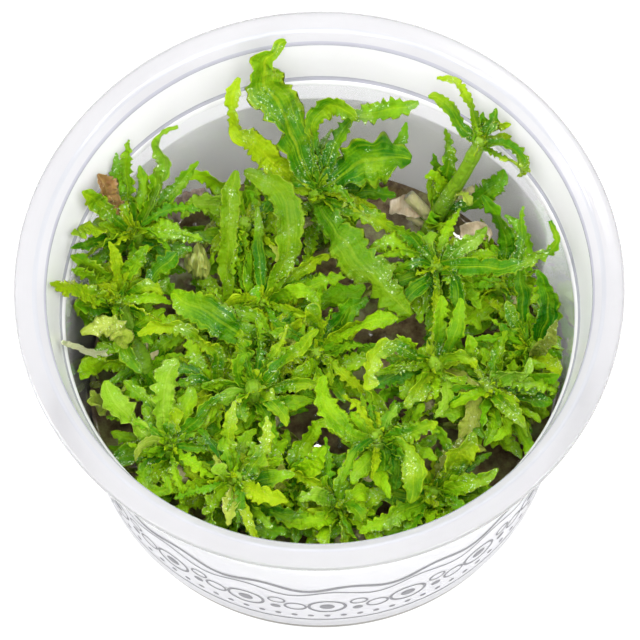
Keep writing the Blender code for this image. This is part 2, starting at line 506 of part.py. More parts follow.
def blade(line, twist, thick, grow=0.0):
    """Closed blade with a keel below, as vertices and faces."""
    dirs = frames(line, twist)
    verts = []
    faces = []
    tip = len(line) - 1
    for (at, width), (side, face) in zip(line[:tip], dirs):
        keel = min(thick, KEEL + width * KEEL_SHARE) + grow
        verts.append(at - side * (width * 0.5 + grow) + face * (LEAF_RIM + grow))
        verts.append(at - face * keel)
        verts.append(at + side * (width * 0.5 + grow) + face * (LEAF_RIM + grow))
    verts.append(line[tip][0])
    for k in range(tip - 1):
        for j in range(3):
            a = 3 * k + j
            b = 3 * k + (j + 1) % 3
            faces.append((b, a, a + 3, b + 3))
    for j in range(3):
        faces.append((3 * (tip - 1) + (j + 1) % 3, 3 * (tip - 1) + j, 3 * tip))
    faces.append((0, 1, 2))
    return verts, faces


def stalk(stem, sides=5):
    """Closed tube along a stem."""
    line = [(Vector(p[:3]), p[3]) for p in stem]
    dirs = frames(line, 0.0)
    verts = []
    faces = []
    for (at, radius), (side, face) in zip(line, dirs):
        for j in range(sides):
            a = 2.0 * math.pi * j / sides
            verts.append(at + (side * math.cos(a) + face * math.sin(a)) * radius)
    for k in range(len(line) - 1):
        for j in range(sides):
            a = sides * k + j
            b = sides * k + (j + 1) % sides
            faces.append((a, b, b + sides, a + sides))
    faces.append(tuple(range(sides - 1, -1, -1)))
    faces.append(tuple(range(sides * (len(line) - 1), sides * len(line))))
    return verts, faces


def star(root, tips):
    """Closed star of pointed leaves round a stem, as vertices and faces."""
    verts = [root + Vector((0.0, 0.0, WHORL_THICK)), root - Vector((0.0, 0.0, WHORL_THICK))]
    faces = []
    n = len(tips)
    for k, tip in enumerate(tips):
        nxt = tips[(k + 1) % n]
        verts.append(tip)
        a = math.atan2((tip - root).y, (tip - root).x)
        b = math.atan2((nxt - root).y, (nxt - root).x)
        b += 2.0 * math.pi if b < a else 0.0
        notch = Vector((math.cos((a + b) * 0.5), math.sin((a + b) * 0.5), 0.0))
        verts.append(root + notch * WHORL_NOTCH)
    for k in range(2 * n):
        a = 2 + k
        b = 2 + (k + 1) % (2 * n)
        faces.append((0, a, b))
        faces.append((1, b, a))
    return verts, faces


def inside(line):
    """Push a line off the cup's wall and off the gel."""
    out = []
    for at, width in line:
        keep = Vector(at)
        keep.z = max(keep.z, GEL_TOP + LEAF_LIFT)
        limit = bore(keep.z) - WALL_CLEAR - width * 0.3
        r = math.hypot(keep.x, keep.y)
        if r > limit:
            keep.x *= limit / r
            keep.y *= limit / r
        out.append((keep, width))
    return out


def tree_of(shape):
    verts, faces = shape
    return BVHTree.FromPolygons([tuple(v) for v in verts], faces, epsilon=0.0)


def meets(shape, others):
    tree = tree_of(shape)
    return any(tree.overlap(other) for other in others)


def moved(line, turn, step):
    """Turn a leaf about its root and lift its free part towards the front view."""
    root = line[0][0]
    spin = Matrix.Rotation(math.radians(turn), 3, "Z")
    out = []
    for k, (at, width) in enumerate(line):
        f = min(1.0, k / (0.45 * (len(line) - 1)))
        f = f * f * (3.0 - 2.0 * f)
        out.append((root + spin @ (at - root) + NEAR * (step * f), width))
    return out


def find_room(line, twist, others):
    """The smallest turn and lift that keeps a leaf off the other plantlets."""
    for turn in TURNS:
        for step in STEPS:
            trial = inside(moved(line, turn, step))
            if not meets(blade(trial, twist, LEAF_THICK, CLEAR * 0.5), others):
                return turn, step
    return None


def settle_leaves():
    """Place every leaf, low ones first; one that meets another plantlet gives way."""
    placed = [(name, tree_of(stalk(stem))) for name, stem, leaves in PLANTS]
    for name, thick, route in LOOSE:
        placed.append((name, tree_of(blade(smooth_route(route, 4), 0.0, thick))))
    jobs = []
    for name, stem, leaves in PLANTS:
        for number, leaf in enumerate(leaves):
            line, twist = leaf_route(stem, leaf, leaf_count(leaf))
            jobs.append((sum(at.z for at, width in line) / len(line), name, number, line, twist))
    jobs.sort(key=lambda job: job[:3])
    out = {}
    for high, name, number, line, twist in jobs:
        others = [tree for owner, tree in placed if owner != name]
        room = find_room(line, twist, others)
        if room is None:
            print("no room", name, number)
            continue
        out[name, number] = room
        line = inside(moved(line, *room))
        placed.append((name, tree_of(blade(line, twist, LEAF_THICK, CLEAR * 0.5))))
    return out, placed


def settle_whorls(placed):
    """Lower leaves in whorls; each is as long as the room round it allows."""
    out = {}
    for row, (name, stem, leaves) in enumerate(PLANTS):
        for number, (place, count, reach, rise) in enumerate(WHORLS):
            root, radius = along(stem, place)
            if root.z > WHORL_TOP or name == BARE_STALK:
                continue
            others = [tree for owner, tree in placed if owner != name]
            tips = []
            for k in range(count):
                heading = math.radians(360.0 * k / count + GOLDEN * (row + 2 * number))
                for share in WHORL_SHARES:
                    side = Vector((math.cos(heading), math.sin(heading), 0.0))
                    tip = root + side * (reach * share) + Vector((0.0, 0.0, rise * share))
                    line = inside([(root + side * 0.5, 1.6), (root.lerp(tip, 0.5), 1.6), (tip, 0.3)])
                    if not meets(blade(line, 0.0, 0.9, CLEAR), others):
                        break
                tips.append(line[-1][0])
            out[name, number] = (root, tips)
            placed.append((name, tree_of(star(root, tips))))
    return out


# Culture gel, a little higher where it wets the wall
turned("gel", [
    (0.0, FLOOR + GAP), (FLOOR_RADIUS - GEL_INSET, FLOOR + GAP), (bore(GEL_RIM) - GAP, GEL_RIM),
    (GEL_FLAT_RADIUS, GEL_TOP), (0.0, GEL_TOP)], CULTURE_GEL)


def closed(work):
    return all(len(edge.link_faces) == 2 for edge in work.edges)


def pieces(mesh):
    """How many separate bodies a mesh has, or none where it's open, and its volume."""
    work = bmesh.new()
    work.from_mesh(mesh)
    left = set(work.verts) if closed(work) else set()
    count = 0
    while left:
        count += 1
        row = [left.pop()]
        while row:
            for edge in row.pop().link_edges:
                for vert in edge.verts:
                    if vert in left:
                        left.discard(vert)
                        row.append(vert)
    volume = work.calc_volume(signed=True)
    work.free()
    return count, volume


def united(obj, cutter, crossing):
    """Boolean union of the cutter and obj, as a new mesh; crossing allows folds in either."""
    mod = obj.modifiers.new("fuse", "BOOLEAN")
    mod.operation = "UNION"
    mod.solver = "EXACT"
    mod.use_self = crossing
    mod.object = cutter
    obj.modifiers.new("triangles", "TRIANGULATE")
    cutter.hide_render = True
    cutter.display_type = "WIRE"
    bpy.context.view_layer.update()
    deps = bpy.context.evaluated_depsgraph_get()
    mesh = bpy.data.meshes.new_from_object(obj.evaluated_get(deps))
    obj.modifiers.clear()
    return mesh


def fuse(obj, cutter):
    """Join the cutter to obj as one body, nudging it a little where the union fails."""
    before = pieces(obj.data)[1]
    for nudge in range(NUDGES):
        turn = math.radians(GOLDEN * nudge)
        cutter.location = Vector((math.cos(turn), math.sin(turn), -1.0)) * (NUDGE * nudge)
        mesh = united(obj, cutter, nudge % 2 == 1)
        count, volume = pieces(mesh)
        if count == 1 and volume > before:
            simplify(mesh)
            obj.data = mesh
            break
    else:
        print("not fused", cutter.name)
    bpy.data.objects.remove(cutter, do_unlink=True)


def folds(one, other, middle):
    """Whether merging two vertices at a place would turn a face over."""
    for face in set(one.link_faces) ^ set(other.link_faces):
        new = [middle if vert in (one, other) else vert.co for vert in face.verts]
        normal = (new[1] - new[0]).cross(new[2] - new[0])
        if normal.length < 0.01 or normal.normalized().dot(face.normal) < FOLD_LIMIT:
            return True
    return False


def neighbours(vert):
    return {edge.other_vert(vert) for edge in vert.link_edges}


def simplify(mesh):
    """Merge the ends of short edges where the body stays closed and no face turns over."""
    work = bmesh.new()
    work.from_mesh(mesh)
    work.normal_update()
    busy = True
    while busy:
        busy = False
        for edge in sorted(work.edges, key=lambda edge: edge.calc_length()):
            if not edge.is_valid or edge.calc_length() > SHORT_EDGE:
                continue
            one, other = edge.verts
            middle = (one.co + other.co) * 0.5
            shared = neighbours(one) & neighbours(other)
            sound = len(shared) == 2 and all(len(vert.link_edges) > 3 for vert in shared)
            if sound and not folds(one, other, middle):
                bmesh.ops.pointmerge(work, verts=[one, other], merge_co=middle)
                work.normal_update()
                busy = True
    work.to_mesh(mesh)
    work.free()


# Plantlets, fused in millimetres and then brought to metres
ROOMS, PLACED = settle_leaves()
STARS = settle_whorls(PLACED)
for plant, stem, leaves in PLANTS:
    body = solid(plant, *stalk(stem), LEAF, 1.0)
    for number, leaf in enumerate(leaves):
        if (plant, number) in ROOMS:
            line, twist = leaf_route(stem, leaf, leaf_count(leaf))
            line = inside(moved(line, *ROOMS[plant, number]))
            fuse(body, solid(plant + "_leaf_%d" % number, *blade(line, twist, LEAF_THICK), LEAF, 1.0))
    for number in range(len(WHORLS)):
        if (plant, number) in STARS:
            fuse(body, solid(plant + "_whorl", *star(*STARS[plant, number]), LEAF, 1.0))
    body.data.transform(Matrix.Scale(MM, 4))
    body.data.update()

for loose, thick, route in LOOSE:
    solid(loose, *blade(smooth_route(route, 4), 0.0, thick), OLD_LEAF)
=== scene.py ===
"""Downoi plantlets in tissue culture in their clear cup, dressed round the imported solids."""
import math
import random

import bpy
from mathutils import Matrix, Vector, noise
from mathutils.bvhtree import BVHTree


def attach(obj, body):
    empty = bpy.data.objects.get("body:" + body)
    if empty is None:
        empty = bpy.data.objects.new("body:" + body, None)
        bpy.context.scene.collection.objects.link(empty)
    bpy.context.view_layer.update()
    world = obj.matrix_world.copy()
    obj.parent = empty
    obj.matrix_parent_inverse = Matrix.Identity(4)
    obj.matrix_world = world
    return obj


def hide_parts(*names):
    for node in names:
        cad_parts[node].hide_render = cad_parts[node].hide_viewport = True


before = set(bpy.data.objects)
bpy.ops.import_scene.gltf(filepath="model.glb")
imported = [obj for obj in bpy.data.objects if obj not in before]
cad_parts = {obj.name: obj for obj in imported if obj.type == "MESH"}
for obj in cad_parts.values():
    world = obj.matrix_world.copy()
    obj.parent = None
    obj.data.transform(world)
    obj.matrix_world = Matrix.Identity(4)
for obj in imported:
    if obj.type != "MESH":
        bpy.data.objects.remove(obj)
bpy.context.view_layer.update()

# Driving sizes of the cup, its label and the gel, in millimetres
FLANGE_RADIUS = 50.0
CUP_HEIGHT = 57.5
FLANGE_LOW = 56.1
LIP_RADIUS = 46.6
LIP_HEIGHT = 56.9
MOUTH_RADIUS = 44.9
MOUTH_HEIGHT = 55.3
STEP_RADIUS = 43.2
STEP_HEIGHT = 46.0
NARROW_RADIUS = 42.4
NARROW_HEIGHT = 45.2
FLOOR_RADIUS = 39.2
FLOOR = 0.9
BASE_RADIUS = 40.0
BASE_ROUND = 1.0
BASE_EDGE = 0.6
STEP_WALL = 0.75
FLARE_HEIGHT = 53.8
SHOULDER_RADIUS = 43.25
SHOULDER_HEIGHT = 44.4
LABEL_LOW = 4.2
LABEL_HIGH = 39.0
LABEL_THICK = 0.2
LABEL_START = math.radians(22.5)
LABEL_END = math.radians(352.5)
GAP = 0.3
GEL_TOP = 15.0
GEL_RIM = 16.0
MM = 0.001

# Camera: above the front, as far off as a product shot is taken, in millimetres and radians;
# the clip is in metres
VIEW_HEIGHT = 41.75
VIEW_DISTANCE = 700.0
VIEW_ELEVATION = math.radians(66.38)
VIEW_ROLL = 0.025
VIEW_LENS = 235.6
VIEW_CLIP = 0.01

# Studio: white horizon, grey overhead, large lamps in watts and a ring of small ones
HORIZON = (0.2, (1.0, 1.0, 1.0))
OVERHEAD = (0.5, (0.28, 0.28, 0.28))
WORLD_STRENGTH = 0.55
LAMPS = (
    ("front_softbox", (0.1, -0.75, 0.36), 0.9, 2.8),
    ("view_softbox", (0.1, -0.36, 0.78), 0.7, 5.2),
    ("back_softbox", (0.0, 0.75, 0.24), 0.9, 5.4),
    ("left_softbox", (-0.75, 0.0, 0.2), 0.7, 3.2),
    ("right_softbox", (0.75, 0.0, 0.2), 0.7, 3.2),
    ("key", (-0.3, 0.12, 0.6), 0.08, 1.7),
)
AIM_HEIGHT = 0.04
SPARKS = 9
SPARK_HEIGHT = 0.6
SPARK_SIZE = 0.045
SPARK_POWER = 0.32
SPARK_NEAR = 0.16
SPARK_SPREAD = 0.2
SPARK_FORWARD = 0.1
FLOOR_HALF = 1.5
FLOOR_DROP = 0.0002
FLOOR_GRAIN = 60.0
FLOOR_TONES = ((0.12, 0.12, 0.12), (0.14, 0.14, 0.14))
FLOOR_GLOW = 0.95


def set_camera():
    """Camera on the cup's middle line, leaned by the photo's roll."""
    ahead = Vector((0.0, math.cos(VIEW_ELEVATION), -math.sin(VIEW_ELEVATION)))
    over = Vector((0.0, math.sin(VIEW_ELEVATION), math.cos(VIEW_ELEVATION)))
    right = Vector((1.0, 0.0, 0.0))
    across = right * math.cos(VIEW_ROLL) - over * math.sin(VIEW_ROLL)
    up = over * math.cos(VIEW_ROLL) + right * math.sin(VIEW_ROLL)
    place = (Vector((0.0, 0.0, VIEW_HEIGHT)) - ahead * VIEW_DISTANCE) * MM
    data = bpy.data.cameras.new("camera")
    data.lens = VIEW_LENS
    data.clip_start = VIEW_CLIP
    camera = bpy.data.objects.new("camera", data)
    bpy.context.scene.collection.objects.link(camera)
    rows = [(across[k], up[k], -ahead[k], place[k]) for k in range(3)]
    camera.matrix_world = Matrix(rows + [(0.0, 0.0, 0.0, 1.0)])
    bpy.context.scene.camera = camera


def add_lamp(name, place, size, power):
    """White area lamp aimed at the cup; place and size in metres."""
    data = bpy.data.lights.new(name, "AREA")
    data.size = size
    data.energy = power
    light = bpy.data.objects.new(name, data)
    bpy.context.scene.collection.objects.link(light)
    light.location = place
    aim = Vector((0.0, 0.0, AIM_HEIGHT)) - Vector(place)
    light.rotation_euler = aim.to_track_quat("-Z", "Y").to_euler()


def set_stage():
    """Soft studio light, and a floor that glows evenly white."""
    scene = bpy.context.scene
    scene.view_settings.view_transform = "Standard"
    world = bpy.data.worlds.new("studio")
    scene.world = world
    world.use_nodes = True
    nodes = world.node_tree.nodes
    links = world.node_tree.links
    place = nodes.new("ShaderNodeTexCoord")
    parts = nodes.new("ShaderNodeSeparateXYZ")
    band = nodes.new("ShaderNodeValToRGB")
    links.new(place.outputs["Generated"], parts.inputs[0])
    links.new(parts.outputs["Z"], band.inputs["Fac"])
    links.new(band.outputs["Color"], nodes["Background"].inputs["Color"])
    for element, (height, tone) in zip(band.color_ramp.elements, (HORIZON, OVERHEAD)):
        element.position = height
        element.color = (*tone, 1.0)
    nodes["Background"].inputs["Strength"].default_value = WORLD_STRENGTH
    for name, place, size, power in LAMPS:
        add_lamp(name, place, size, power)
    for k in range(SPARKS):
        turn = math.radians(GOLDEN * k)
        reach = SPARK_NEAR + SPARK_SPREAD * k / SPARKS
        place = (reach * math.cos(turn), reach * math.sin(turn) - SPARK_FORWARD, SPARK_HEIGHT)
        add_lamp("spark_%d" % k, place, SPARK_SIZE, SPARK_POWER)
    corners = ((-1.0, -1.0), (1.0, -1.0), (1.0, 1.0), (-1.0, 1.0))
    verts = [(x * FLOOR_HALF, y * FLOOR_HALF, -FLOOR_DROP) for x, y in corners]
    mesh = bpy.data.meshes.new("floor")
    mesh.from_pydata(verts, [], [(0, 1, 2, 3)])
    floor = bpy.data.objects.new("floor", mesh)
    scene.collection.objects.link(floor)
    look = Look("floor_paint")
    look.tones(look.noise(look.coords("Object"), FLOOR_GRAIN), *FLOOR_TONES)
    look.set(Roughness=0.6, Emission_Color=(1.0, 1.0, 1.0, 1.0), Emission_Strength=FLOOR_GLOW)
    mesh.materials.append(look.mat)


class Look:
    """A material with short calls for its nodes."""

    def __init__(self, name):
        self.mat = bpy.data.materials.new(name)
        self.mat.use_nodes = True
        self.nodes = self.mat.node_tree.nodes
        self.links = self.mat.node_tree.links
        self.shader = self.nodes["Principled BSDF"]

    def set(self, **values):
        """Constant values, with _ for the spaces in a socket's name."""
        for name, value in values.items():
            self.shader.inputs[name.replace("_", " ")].default_value = value

    def feed(self, socket, value):
        """Give a socket a number, a colour or the output of another node."""
        if isinstance(value, (int, float)):
            socket.default_value = value
        elif isinstance(value, tuple):
            opaque = len(value) == 3 and len(socket.default_value) == 4
            socket.default_value = (*value, 1.0) if opaque else value
        else:
            self.links.new(value, socket)

    def coords(self, name):
        return self.nodes.new("ShaderNodeTexCoord").outputs[name]

    def attribute(self, name):
        node = self.nodes.new("ShaderNodeAttribute")
        node.attribute_name = name
        return node.outputs["Fac"]

    def split(self, vector):
        node = self.nodes.new("ShaderNodeSeparateXYZ")
        self.links.new(vector, node.inputs[0])
        return node.outputs

    def join(self, x, y, z):
        node = self.nodes.new("ShaderNodeCombineXYZ")
        for socket, value in zip(node.inputs, (x, y, z)):
            self.feed(socket, value)
        return node.outputs[0]

    def math(self, operation, a, b=0.0, c=0.0):
        node = self.nodes.new("ShaderNodeMath")
        node.operation = operation
        for socket, value in zip(node.inputs, (a, b, c)):
            self.feed(socket, value)
        return node.outputs[0]

    def times(self, a, b):
        return self.math("MULTIPLY", a, b)

    def plus(self, a, b):
        return self.math("ADD", a, b)

    def line(self, value, slope, start):
        """start where the value is 0, and slope more where it is 1."""
        return self.math("MULTIPLY_ADD", value, slope, start)

    def smooth(self, value, low, high):
        """0 at low and 1 at high, with soft ends."""
        node = self.nodes.new("ShaderNodeMapRange")
        node.interpolation_type = "SMOOTHSTEP"
        self.feed(node.inputs["Value"], value)
        self.feed(node.inputs["From Min"], low)
        self.feed(node.inputs["From Max"], high)
        return node.outputs["Result"]

    def noise(self, vector, scale, detail=2.0, rough=0.5):
        """Cloudy noise with a scale in cells a metre."""
        node = self.nodes.new("ShaderNodeTexNoise")
        self.links.new(vector, node.inputs["Vector"])
        node.inputs["Scale"].default_value = scale
        node.inputs["Detail"].default_value = detail
        node.inputs["Roughness"].default_value = rough
        return node.outputs["Fac"]

    def ramp(self, value, stops):
        node = self.nodes.new("ShaderNodeValToRGB")
        self.links.new(value, node.inputs["Fac"])
        band = node.color_ramp.elements
        while len(band) < len(stops):
            band.new(0.5)
        for element, (place, color) in zip(band, stops):
            element.position = place
            element.color = (*color, 1.0)
        return node.outputs["Color"]

    def mix(self, share, a, b, kind="MIX"):
        node = self.nodes.new("ShaderNodeMix")
        node.data_type = "RGBA"
        node.blend_type = kind
        self.feed(node.inputs["Factor"], share)
        self.feed(node.inputs[6], a)
        self.feed(node.inputs[7], b)
        return node.outputs[2]

    def tones(self, value, dark, light, low=0.3, high=0.7):
        """Base colour between two tones."""
        self.color(self.ramp(value, [(low, dark), (high, light)]))

    def color(self, value):
        self.links.new(value, self.shader.inputs["Base Color"])

    def rough(self, value):
        self.links.new(value, self.shader.inputs["Roughness"])

    def bump(self, height, strength, depth, socket="Normal"):
        """Relief of a depth in millimetres; Coat Normal is that of the wet film alone."""
        node = self.nodes.new("ShaderNodeBump")
        node.inputs["Strength"].default_value = strength
        node.inputs["Distance"].default_value = depth * MM
        self.links.new(height, node.inputs["Height"])
        self.links.new(node.outputs["Normal"], self.shader.inputs[socket])


# Leaf and stem rules, in millimetres and degrees
LEAF_THICK = 0.8
CLEAR = 0.35
WALL_CLEAR = 0.7
LEAF_LIFT = 1.4
LEAF_RIM = 0.3
KEEL = 0.35
KEEL_SHARE = 0.2
VIEW_TILT = math.radians(66.4)
NEAR = Vector((0.0, -math.cos(VIEW_TILT), math.sin(VIEW_TILT)))
WHORLS = ((0.42, 7, 9.0, 2.5), (0.72, 6, 8.5, 3.0))
WHORL_TOP = 31.0
BARE_STALK = "tall_stalk"
WHORL_SHARES = (1.0, 0.85, 0.7, 0.55, 0.4, 0.3)
WHORL_NOTCH = 2.0
WHORL_THICK = 0.5
TURNS = (0.0, 4.0, -4.0, 8.0, -8.0, 13.0, -13.0, 20.0, -20.0)
STEPS = (0.0, 0.6, -0.6, 1.2, -1.2, 1.9, -1.9, 2.7, -2.7, 3.6, -3.6, 4.6, 5.6)
BREADTH = 1.25
GOLDEN = 137.5

